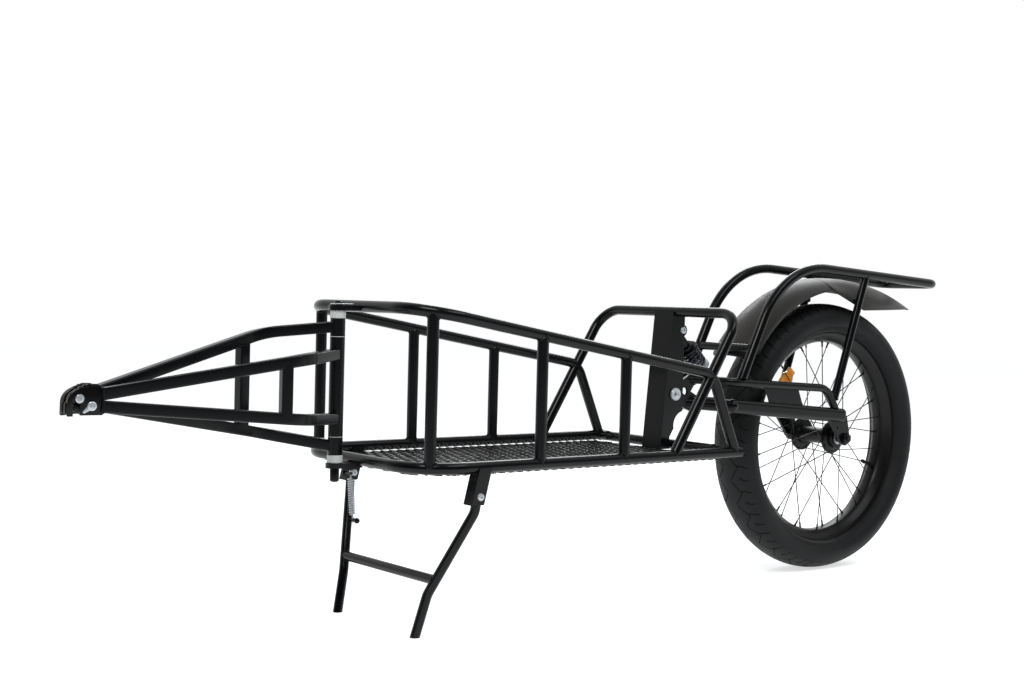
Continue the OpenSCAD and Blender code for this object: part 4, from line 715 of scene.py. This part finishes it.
def add_weld_beads():
    slope = (1, 0, -RAIL_FALL)
    level, up, down = (1, 0, 0), (0, 0, 1), (0, 0, -1)
    rack_run = Vector((-196, 0, 621)) - Vector((-309, 0, 391))
    leg = STAND_KNEE - STAND_LOW
    brace_end = STAND_LOW + leg * 0.17
    cage, swing, stand = [], [], []
    for side in (1, -1):
        y = side * RAIL_Y
        for x in (-890.0, -707.0):
            cage += [weld_bead((x, y, RAIL_Z), up, level), weld_bead((x, y, rail_top_z(x)), down, slope)]
        turn = radians(40)
        x = NOSE_X + NOSE_R * (1 - sin(turn))
        corner_y = side * (RAIL_Y - NOSE_R * (1 - cos(turn)))
        run = Vector((cos(turn), side * sin(turn), 0))
        cage += [weld_bead((x, corner_y, RAIL_Z), up, run),
                 weld_bead((x, corner_y, rail_top_z(x)), down, run + Vector((0, 0, -RAIL_FALL * run.x))),
                 weld_bead((-590.0, y, RAIL_Z), (156, 0, 249), level),
                 weld_bead((CAGE_X, y, RAIL_Z), (-62, 0, rail_top_z(-500.0) - RAIL_Z), level),
                 weld_bead((CAGE_X, y, RAIL_Z), (0, -side, 0), level)]
        y = side * STAY_Y
        top, low = Vector((52.5, y, 606.2)), Vector((-36, y, 352))
        swing += [weld_bead((-279.0, y, 455.0), (0, -side, 0), rack_run, STAY_R, TUBE_R, 1.4),
                  weld_bead(top, low - top, (1, 0, -0.0595), STAY_R, TUBE_R, 1.4),
                  weld_bead(low, top - low, (40, 0, -65), STAY_R, STAY_R, 1.4)]
        stand.append(weld_bead((brace_end.x, side * brace_end.y, brace_end.z), (0, -side, 0),
                               (leg.x, side * leg.y, leg.z), STAY_R, STAY_R, 1.4))
    for beads, name, body in ((cage, "cage", "frame"), (swing, "swingarm", "swingarm"), (stand, "stand", "stand")):
        finish_piece(join_pieces(beads, name + "_weld_beads"), "frame_paint", body)


# Springs

def coil_points(start, end, radius, turns, per_turn=20, ends=0.0):
    """Points of a wound wire in metres; with ends, its first and last half curls close in to the axis."""
    start, end = mm(*start), mm(*end)
    w = (end - start).normalized()
    u = across(w)
    v = w.cross(u)
    length = (end - start).length - 2 * ends / 1000
    count = int(turns * per_turn)
    points = []
    for i in range(count + 1):
        near = min(i, count - i) / (per_turn / 2)
        grow = min(near, 1.0) if ends else 1.0
        turn = FULL_TURN * i / per_turn
        centre = start + w * (ends / 1000 + length * i / count)
        points.append(centre + (u * cos(turn) + v * sin(turn)) * radius / 1000 * grow)
    return points


def make_shock_coil():
    """Coil spring of the shock; this piece is a fixed coil and does not close up as the swingarm rises."""
    top, low = SHOCK_TOP, SHOCK_LOW
    w = unit(low - top)
    length = (low - top).length
    start, end = top + w * 56.8, top + w * (length - 27.8)
    coil = wire("shock_coil", coil_points(start, end, 17.5, 5, per_turn=28), 2.5, sides=10)
    finish_piece(coil, "coil", "shock_upper", "shock_coil", angle=60)
    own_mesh(coil)


def ring_points(centre, first, second, radius, start, turn, count=14):
    """Points of part of a ring round a peg."""
    made = []
    for i in range(count + 1):
        angle = start + turn * i / count
        made.append(mm(*centre) + (first * cos(angle) + second * sin(angle)) * radius / 1000)
    return made


def make_stand_spring():
    """Extension spring with a hook round the peg and one round the pin."""
    peg_z, peg_reach = 150.0, 16.5
    part = (STAND_KNEE.z - peg_z) / (STAND_KNEE.z - STAND_LOW.z)
    peg = STAND_KNEE.lerp(STAND_LOW, part) - Vector((0, peg_reach, 0))
    pin = Vector((-1036.0, 155.0, 229.0))
    w = unit(pin - peg)
    side = unit(Vector((0, 1, 0)) - w * w.y)
    out = w.cross(side)
    low = ring_points(peg, w, out, 3.9, radians(-200), radians(200))
    high = ring_points(pin, w, out, 3.9, radians(180), radians(200))
    body = coil_points(peg + w * 5.0, pin - w * 5.0, 4.8, 16, per_turn=14, ends=2.5)
    spring = wire("stand_spring", low + body + high, 1.25, sides=8)
    finish_piece(spring, "zinc", "stand", "stand_spring", angle=60)


# Fasteners

def bolt(name, section, centre, axis, socket=None):
    """A turned bolt or nut; socket gives the width and depth of a key's hole in its outer end."""
    piece = turned(name, section, mm(*centre), axis, steps=32)
    if socket:
        width, depth, outer = socket
        axis = unit(axis)
        place = mm(*centre) + axis * (outer - depth / 2 + 1) / 1000
        bpy.ops.mesh.primitive_cylinder_add(vertices=6, radius=width / 2000, depth=(depth + 2) / 1000,
                                            location=place)
        hole = last_made("key_hole")
        hole.rotation_euler = axis.to_track_quat("Z", "X").to_euler()
        settle(hole)
        cut_away(piece, hole)
    return piece


def pan_head(radius, height, shank, length):
    """Half section of a pan head on a shank that runs inwards."""
    return [(0, -length), (shank, -length), (shank, 0), (radius, 0.0), (radius, height * 0.55),
            (radius * 0.86, height * 0.9), (radius * 0.6, height), (0, height)]


def make_fasteners():
    """Bolts of the stand, the swingarm's pivot and both ends of the shock."""
    key = (5, 2.6, 4)
    stand = [bolt("stand_bolt", pan_head(6, 4, 4, 11.0), (STAND_KNEE.x, side * (RAIL_Y + face * 11.3), 228),
                  (0, side * face, 0), (4.4, 2.6, 4)) for side in (1, -1) for face in (1, -1)]
    fit(stand, "stand_bolts", "zinc", "frame")
    cap = [(0, -24), (6, -24), (6, 0), (10.6, 0), (12, 0.9), (12, 4.0), (11.2, 5), (8.2, 5), (7.4, 4.2),
           (5.4, 2.4), (0, 2.4)]
    nut = [(0, -24), (6, -24), (6, 0), (10, 0), (10, 7), (9, 8), (6.2, 8), (6, 6.8), (0, 6.8)]
    fit([bolt("pivot_bolt", cap, (PIVOT_X, -25, PIVOT_Z), (0, -1, 0), (7.4, 4, 2.4)),
         bolt("pivot_nut", nut, (PIVOT_X, 25, PIVOT_Z), (0, 1, 0))], "pivot_bolt", "zinc", "frame")
    top = [bolt("shock_top_bolt", pan_head(6.5, 4, 4, 24.9), (SHOCK_TOP.x, side * 25, SHOCK_TOP.z),
                (0, side, 0), key) for side in (-1, 1)]
    top += [turned("spacer", [(4.1, 12.3), (6, 12.3), (6, 21.9), (4.1, 21.9)], mm(*SHOCK_TOP), (0, side, 0),
                   steps=28) for side in (1, -1)]
    fit(top, "shock_top_bolt", "zinc", "frame")
    low = [bolt("shock_low_bolt", pan_head(6.5, 4, 4, 16.2), (SHOCK_LOW.x, side * 16.3, SHOCK_LOW.z),
                (0, side, 0), key) for side in (1, -1)]
    fit(low, "shock_low_bolt", "zinc", "swingarm")


# Reflector

def make_reflector():
    """Amber reflector: a framed lens, clipped among the near spokes."""
    bpy.ops.mesh.primitive_cube_add(size=1.0)
    piece = bpy.context.active_object
    for vertex in piece.data.vertices:
        vertex.co = flat(vertex.co.x * 30, vertex.co.y * 6, vertex.co.z * 100)
    start_edit(piece)
    bpy.ops.mesh.subdivide(number_cuts=9)
    end_edit()
    for vertex in piece.data.vertices:
        if abs(vertex.co.z) > 0.0395:
            vertex.co.x *= 0.6
    start_edit(piece)
    select_where(piece, "FACE", lambda face: abs(face.normal.y) > 0.9
                 and abs(face.calc_center_median().z) < 0.041 and abs(face.calc_center_median().x) < 0.0125)
    bpy.ops.mesh.inset(thickness=0.0008, depth=-0.0011)
    end_edit()
    round_edges(piece, 0.6, segments=2, angle=60)
    turn = Matrix.Rotation(radians(-141), 4, "Y")
    piece.data.transform(Matrix.Translation(AXLE) @ turn @ Matrix.Translation(flat(155, -5.3, 0)))
    clean_up(piece)
    finish_piece(piece, "reflector", "wheel", "reflector", angle=30)


# Fender

FENDER_END = radians(149.0)
FENDER_R = 325.0
FENDER_MID_R = 313.0
CORNER_R = 34.0
CORNER_REACH = 70.0


def make_fender_front():
    """Curved front piece of the fender, with rounded corners at its lower end and rolled side edges."""
    half_width, crown, sheet = 61.0, 23.0, 2.8
    arc = (half_width ** 2 + crown ** 2) / (2 * crown)
    half = asin(half_width / arc)
    turns = [-half + 2 * half * k / 24 for k in range(25)]
    outer, inner = ([(FENDER_R - arc + r * cos(turn), r * sin(turn)) for turn in turns]
                    for r in (arc, arc - sheet))
    piece = turned("fender_front", outer + inner[::-1], AXLE, SIDEWAYS, steps=54,
                   out=(0, 0, 1), angle=radians(59.0))
    for vertex in piece.data.vertices:
        way = vertex.co - AXLE
        radius, turn = hypot(way.x, way.z), atan2(way.z, way.x)
        along = (FENDER_END - turn) * FENDER_MID_R
        corner = max(abs(way.y) * 1000 - 27.0, 0)
        back = CORNER_R - sqrt(max(CORNER_R ** 2 - corner ** 2, 0))
        if along < CORNER_REACH:
            turn = FENDER_END - (back + along * (CORNER_REACH - back) / CORNER_REACH) / FENDER_MID_R
            vertex.co = AXLE + Vector((radius * cos(turn), way.y, radius * sin(turn)))
    start_edit(piece)
    bpy.ops.mesh.bisect(plane_co=mm(-36.0, 0, 0), plane_no=(1, 0, 0), use_fill=True, clear_outer=True)
    end_edit()
    clean_up(piece)
    round_edges(piece, 1.0, segments=3, angle=50)
    finish_piece(piece, "fender", "swingarm", "fender_front", angle=40)


def blend(x, points):
    """Value at x on the line through (x, value) points."""
    for (x0, v0), (x1, v1) in zip(points, points[1:]):
        if x <= x1:
            return v0 + (v1 - v0) * (x - x0) / (x1 - x0)
    return points[-1][1]


def tail_section(x):
    """Section of the tail from its far edge over the ridge and the fold to its near edge."""
    ridge = 597.3 - (x - 10.0) ** 2 / 1300.0
    near = blend(x, [(-36, 572.3), (65, 532.8), (287, 537.5)])
    far = blend(x, [(-36, 572.3), (60, 572.0), (110, 569.0), (287, 537.5)])
    part = max((x - 65.0) / 222.0, 0)
    wide = 3.0 + 57.8 * (1 - part ** 1.6)
    fold = blend(x, [(-36, 9.0), (30, 11.5), (75, 14.0), (123, 11.0), (183, 6.5), (287, 0.8)])
    fold_y = blend(x, [(-36, 0.66), (75, 0.66), (183, 0.5), (287, 0.4)])
    points = []
    for k in range(9):
        part = 1 - k / 8
        points.append((wide * part, ridge - (ridge - far) * part ** 2.2))
    for k in range(1, 6):
        points.append((-wide * fold_y * k / 5, ridge - fold * (k / 5) ** 2))
    for k in range(1, 7):
        part = k / 6
        y = -wide * (fold_y + (1 - fold_y) * sin(part * pi / 2))
        points.append((y, ridge - fold + (near - ridge + fold) * part))
    return points


def make_fender_tail():
    """Tail of the fender: a crowned top that folds into a deep side panel and narrows to a point."""
    stations = [-35.6, -20, -4, 12, 28, 44, 56, 65, 80, 98, 118, 140, 162, 184, 206, 228, 250, 270, 286.5]
    sections = [tail_section(x) for x in stations]
    across_count = len(sections[0])
    bpy.ops.mesh.primitive_grid_add(x_subdivisions=len(stations) - 1, y_subdivisions=across_count - 1, size=1.0)
    piece = bpy.context.active_object
    for vertex in piece.data.vertices:
        i = round((vertex.co.x + 0.5) * (len(stations) - 1))
        k = round((vertex.co.y + 0.5) * (across_count - 1))
        y, z = sections[i][k]
        vertex.co = mm(stations[i], y, z)
    clean_up(piece)
    start_edit(piece)
    if sum(face.normal.z for face in piece.data.polygons) < 0:
        bpy.ops.mesh.flip_normals()
    end_edit()
    use_modifier(piece, "SOLIDIFY", thickness=0.0026, offset=-1, use_even_offset=True)
    clean_up(piece)
    round_edges(piece, 0.8, segments=2, angle=60)
    finish_piece(piece, "fender", "swingarm", "fender_tail", angle=26)


# Hinge pin, its clip and the bushes

def make_hinge_pieces():
    """Nylon bushes with a chamfer, the pin with its knob and the wire clip."""
    up = (0, 0, 1)
    rings = []
    for low, tall in ((500.05, 13.0), (268.95, 13.0)):
        section = [(6.05, 0), (11.6, 0), (12.6, 0.9), (12.6, tall - 0.9), (11.6, tall), (6.05, tall)]
        rings.append(turned("bush", section, mm(HINGE_X, 0, low), up))
    for low in (470.55, 310.55):
        rings.append(turned("washer", [(6.05, 0), (12, 0), (12, 0.9), (6.05, 0.9)], mm(HINGE_X, 0, low), up))
    fit(rings, "hinge_bushes", "bushing", "frame")
    top, clip_z = 527.9, 522.9
    section = [(0, 238.4), (4.2, 238.4), (6.6, 239.6), (7.5, 241.4), (7.5, 243.4), (6.9, 244.2), (7.5, 245.0),
               (7.5, 258.6), (6.7, 260.4), (6, 260.4), (6, top - 1.5), (4.6, top), (0, top)]
    pin = turned("hinge_pin", section, mm(HINGE_X, 0, 0), up, steps=36)
    hole = turned("pin_hole", [(0, -12), (1.4, -12), (1.4, 12), (0, 12)], mm(HINGE_X, 0, clip_z), (1, 0, 0), steps=10)
    cut_away(pin, hole)
    finish_piece(pin, "black_metal", "frame", "hinge_pin", angle=30)
    line = [(-14, 0, 0), (6, 0, 0.2), (14, 0.6, 0), (20, 0.8, 0)]
    bow = [(20 + 3.9 * sin(a), -3.78 + 4.5 * cos(a), 0) for a in (0.3 + 0.28 * k for k in range(10))]
    back = [(16, -7.9, 0.1), (9, -7.0, 0.2), (3, -7.9, 0.2), (-4, -7.2, 0.2), (-10, -7.9, 0.1)]
    clip = wire("pin_clip", [mm(HINGE_X + x, y, clip_z + z) for x, y, z in line + bow + back], 1.15)
    finish_piece(clip, "zinc", "frame", "pin_clip", angle=60)


# Axle ends and the valve

def make_axle():
    """Axle with its nuts and spacers."""
    pieces = []
    for side in (1, -1):
        nut = turned("axle_nut", [(6, 0), (9.6, 0), (10.9, 1.0), (10.9, 7.6), (9.4, 8.8), (6, 8.8)],
                     mm(0, side * 73.6, AXLE_Z), (0, side, 0), steps=6)
        round_edges(nut, 0.5, segments=1, angle=40)
        pieces.append(nut)
        pieces.append(turned("spacer", [(6, 0), (8.6, 0), (9, 0.5), (9, 10.4), (8.6, 11.0), (6, 11.0)],
                             mm(0, side * 56.4, AXLE_Z), (0, side, 0), steps=32))
    section = [(0, -85.4), (4.6, -85.4), (5.9, -84), (5.9, 84), (4.6, 85.4), (0, 85.4)]
    pieces.append(turned("axle_rod", section, AXLE, SIDEWAYS, steps=32))
    fit(pieces, "axle", "black_metal", "swingarm", angle=35)


def make_valve():
    """Valve stem with its nut against the rim and a cap."""
    way = Vector((cos(radians(-22)), 0, sin(radians(-22))))
    section = [(0, 159), (3.0, 159), (3.9, 160), (3.9, 168.2), (3.3, 168.8), (2.7, 169.2), (2.7, 190.4), (5.0, 190.6),
               (5.0, 193.2), (2.9, 193.4), (2.9, 198), (0, 198)]
    valve = turned("valve_stem", section, AXLE, way, steps=16)
    finish_piece(valve, "black_metal", "wheel", "valve_stem", angle=35)


# Fork arms

KNEE = Vector((-1262.0, 66.0, 0.0))
TIP = Vector((-1625.0, 5.5, 0.0))
ARM_LINE = (TIP - KNEE).normalized()
ARM_SIDE = Vector((-ARM_LINE.y, ARM_LINE.x, 0.0))
HEAD_END = TIP - ARM_LINE * 62.0
RAILS = {"right_top_rail": (1, 487.0, 474.6, 387.5), "right_bottom_rail": (1, 295.5, 314.4, 369.5),
         "left_top_rail": (-1, 443.0, 437.5, 387.5), "left_bottom_rail": (-1, 339.5, 345.5, 369.5)}


def rail_places(side, hinge_z, knee_z, head_z, radius=70.0):
    """Middle line of a rail: two straight runs with one bend that climbs with them."""
    start = Vector((HINGE_X, 0.0, hinge_z))
    knee = Vector((KNEE.x, KNEE.y, knee_z))
    end = Vector((HEAD_END.x, HEAD_END.y, head_z))
    first, second = (knee - start).normalized(), (end - knee).normalized()
    turn = first.angle(second)
    cut = radius * tan(turn / 2)
    centre = knee + (second - first).normalized() * radius / cos(turn / 2)
    axis = first.cross(second).normalized()
    arm = knee - first * cut - centre
    places = [start + first * 8.5]
    places += [centre + Matrix.Rotation(turn * k / 14, 3, axis) @ arm for k in range(15)]
    places.append(end + second * 2.0)
    return [mm(p.x, side * p.y, p.z) for p in places]


def square_tube(name, places, size=18.0, corner=2.8):
    """A square tube with rounded corners along the places, its sides upright."""
    reach = (size / 2 - corner) * sqrt(2)
    ring = []
    for k in range(16):
        middle = radians(90 * (k // 4) + 45)
        turn = radians(90 * (k // 4) + 30 * (k % 4))
        ring.append(flat(reach * cos(middle) + corner * cos(turn),
                         reach * sin(middle) + corner * sin(turn), 0))
    section = curve_along("tube_section", ring, closed=True)
    tube = turn_into_mesh(curve_along(name, places, dimensions="3D", bevel_mode="OBJECT", bevel_object=section,
                                      twist_mode="Z_UP", use_fill_caps=True))
    bpy.data.objects.remove(section)
    return tube


def make_rails():
    """Rails and upright braces of both arms."""
    for name, (side, hinge_z, knee_z, head_z) in RAILS.items():
        rail = square_tube(name, rail_places(side, hinge_z, knee_z, head_z))
        finish_piece(rail, "frame_paint", name.split("_")[0] + "_arm", name, angle=35)
        level_shading(rail)
    back = (HEAD_END - KNEE).length
    for word, side, ahead in (("right", 1, 39.0), ("left", -1, 29.0)):
        ends = []
        for rail in ("_bottom_rail", "_top_rail"):
            knee_z, head_z = RAILS[word + rail][2:]
            ends.append(knee_z + (head_z - knee_z) * ahead / back)
        place = KNEE + ARM_LINE * ahead
        bpy.ops.mesh.primitive_cube_add(size=1, location=mm(place.x, side * place.y, sum(ends) / 2),
                                        rotation=(0, 0, side * atan2(ARM_LINE.y, ARM_LINE.x)),
                                        scale=(0.018, 0.018, (ends[1] - ends[0]) / 1000))
        brace = last_made(word + "_brace")
        settle(brace)
        round_edges(brace, 2.6, segments=3, angle=60)
        finish_piece(brace, "frame_paint", word + "_arm", word + "_brace", angle=35)
        level_shading(brace)


def head_place(u, w, z, side):
    """A place at the hitch head: u forwards along the arm, w across it with the outside below zero."""
    p = TIP + ARM_LINE * u + ARM_SIDE * w
    return mm(p.x, side * p.y, z)


def head_plate(name, outline, low, high, side):
    """A plate of the head between two offsets across the arm."""
    piece = closed_line(name, [head_place(u, low, z, side) for u, z in outline])
    start_edit(piece)
    bpy.ops.mesh.edge_face_add()
    extrude(head_place(0, high, 0, side) - head_place(0, low, 0, side))
    end_edit()
    clean_up(piece)
    return piece


def outward(side):
    """Direction across the arm, away from the other arm."""
    return head_place(0, -1, 0, side) - head_place(0, 0, 0, side)


def arc_line(u, z, radius, start, end, count=8):
    """Points of an arc in the head's plane, with angles in degrees."""
    turns = [radians(start + (end - start) * k / count) for k in range(count + 1)]
    return [(u + radius * cos(a), z + radius * sin(a)) for a in turns]


SLOT_EDGE = arc_line(-24.9, 373.5, 4.9, 180, 0)


def ridged_crown():
    """Crown of the head's inner half, with five small ridges for the thumb."""
    points = []
    for k in range(31):
        part = k / 30
        u = -16.0 - 38.0 * part
        z = 388.3 + 13.6 * sin(min(part * 1.25, 1) * pi / 2)
        points.append((u, z + (0.55 * sin(k * pi / 2.5) if 4 < k < 26 else 0)))
    return points


def make_head(word, side):
    """Hitch head of two halves, one standing out round the other, open below for the axle stud."""
    cheek = [(-62, 357.5), (-29.8, 357.5)] + SLOT_EDGE + [(-20, 356.2), (-12.6, 356), (-11.3, 357.6),
             (-11.6, 375), (-12.6, 380.8), (-14.9, 385), (-17.9, 388.7), (-21.6, 391.9), (-26.9, 394.9),
             (-32.9, 396.9), (-42, 398.9), (-51, 400.1), (-55, 400), (-58.5, 398.4), (-62, 397)]
    core = [(-62, 358.3), (-29.8, 358.3)] + SLOT_EDGE + [(-20, 359), (-10.4, 359.2), (-9.2, 360.6), (-9.2, 374),
            (-11.8, 376.6), (-13.2, 383)] + ridged_crown() + [(-57.5, 400.6), (-62, 397)]
    pocket = [(-55.1, 355)] + arc_line(-46.5, 371, 8.6, 180, 20) + [(-37.5, 373.8), (-11.2, 373.8), (-11.2, 355)]
    halves = []
    for name, outline, low, high in (("cheek", cheek, -6.2, -1.4), ("core", core, -1.5, 5.0)):
        half = head_plate(name, outline, low, high, side)
        cut_away(half, head_plate("hook_pocket", pocket, -2.8, 2.8, side))
        clean_up(half)
        round_edges(half, 0.7, segments=2, angle=40)
        halves.append(half)
    ring = [(-9.3, 360.4), (-9.3, 396.8), (9.3, 396.8), (9.3, 360.4)]
    halves.append(wire("weld", [head_place(-62.3, w, z, side) for w, z in ring], 1.3, closed=True))
    fit(halves, word + "_hitch_head", "black_metal", word + "_arm", angle=30)


def make_head_screws(word, side):
    """Pan head screws, one with a cross and one with a slot."""
    pieces = []
    for u, z, w, radius, marks in ((-29.2, 381.3, -6.15, 6.3, (20, 110)), (-46.2, 370.8, -7.9, 6.6, (5,))):
        screw = turned("screw", pan_head(radius, 2.4, 2.3, 1.0), head_place(u, w, z, side), outward(side), steps=32)
        for mark in marks:
            turn = radians(mark)
            along, over = (cos(turn), sin(turn)), (-sin(turn), cos(turn))
            half = 4.6 if len(marks) == 1 else 3.0
            line = [(u + along[0] * a + over[0] * b, z + along[1] * a + over[1] * b)
                    for a, b in ((-half, -0.6), (half, -0.6), (half, 0.6), (-half, 0.6))]
            cut_away(screw, head_plate("mark", line, w - 4.0, w - 1.3, side))
        pieces.append(screw)
    fit(pieces, word + "_hitch_screws", "zinc", word + "_arm", angle=35)


def make_latch(word, side):
    """Sprung latch: dark hook across the slot, sleeve and a thin release lever outside."""
    body = word + "_latch_lever"
    hook_line = arc_line(-46.5, 371, 7.4, 60, 250) + [(-41, 362.3), (-23, 362.3), (-21.4, 364), (-21.4, 370.4),
                                                      (-23, 372.2), (-39, 372.2)]
    hook = head_plate("hook", hook_line, -2.5, 2.5, side)
    round_edges(hook, 0.5, angle=40)
    finish_piece(hook, "black_metal", body, angle=35)
    blade = arc_line(-46.2, 370.8, 4.6, 30, 250, 12) + arc_line(-35.2, 362.3, 1.9, -130, 52, 8)
    lever = head_plate("lever", blade, -7.8, -6.35, side)
    round_edges(lever, 0.4, angle=40)
    sleeve = turned("sleeve", [(2.6, 2), (4.4, 2), (4.4, 6.4), (2.6, 6.4)], head_place(-46.5, 0, 371, side),
                    outward(side), steps=24)
    fit([lever, sleeve], word + "_latch", "zinc", body, angle=35)


def make_arm_ends():
    for word, side in (("right", 1), ("left", -1)):
        make_head(word, side)
        make_head_screws(word, side)
        make_latch(word, side)


# Everything

add_camera()
add_white_backdrop()
add_white_floor()
add_soft_light("key_light", (-1.9, -1.3, 2.9), (0.0, 0.0, 0.4), (1.4, 1.0), 44, (1.0, 0.99, 0.97))
add_soft_light("fill_light", (0.7, -1.9, 3.0), (0.0, 0.0, 0.35), (2.0, 1.0), 26, (0.96, 0.98, 1.0))
add_soft_light("rim_light", (2.4, 2.2, 2.4), (0.0, 0.0, 0.4), (2.0, 1.2), 40, (0.96, 0.98, 1.0))
bpy.context.scene.view_settings.view_transform = "Standard"
paint_the_frame()
make_tyre()
make_rim()
make_spokes()
make_hub()
make_floor_mesh()
add_weld_beads()
make_shock_coil()
make_stand_spring()
make_fasteners()
make_reflector()
make_fender_front()
make_fender_tail()
make_hinge_pieces()
make_axle()
make_valve()
make_rails()
make_arm_ends()
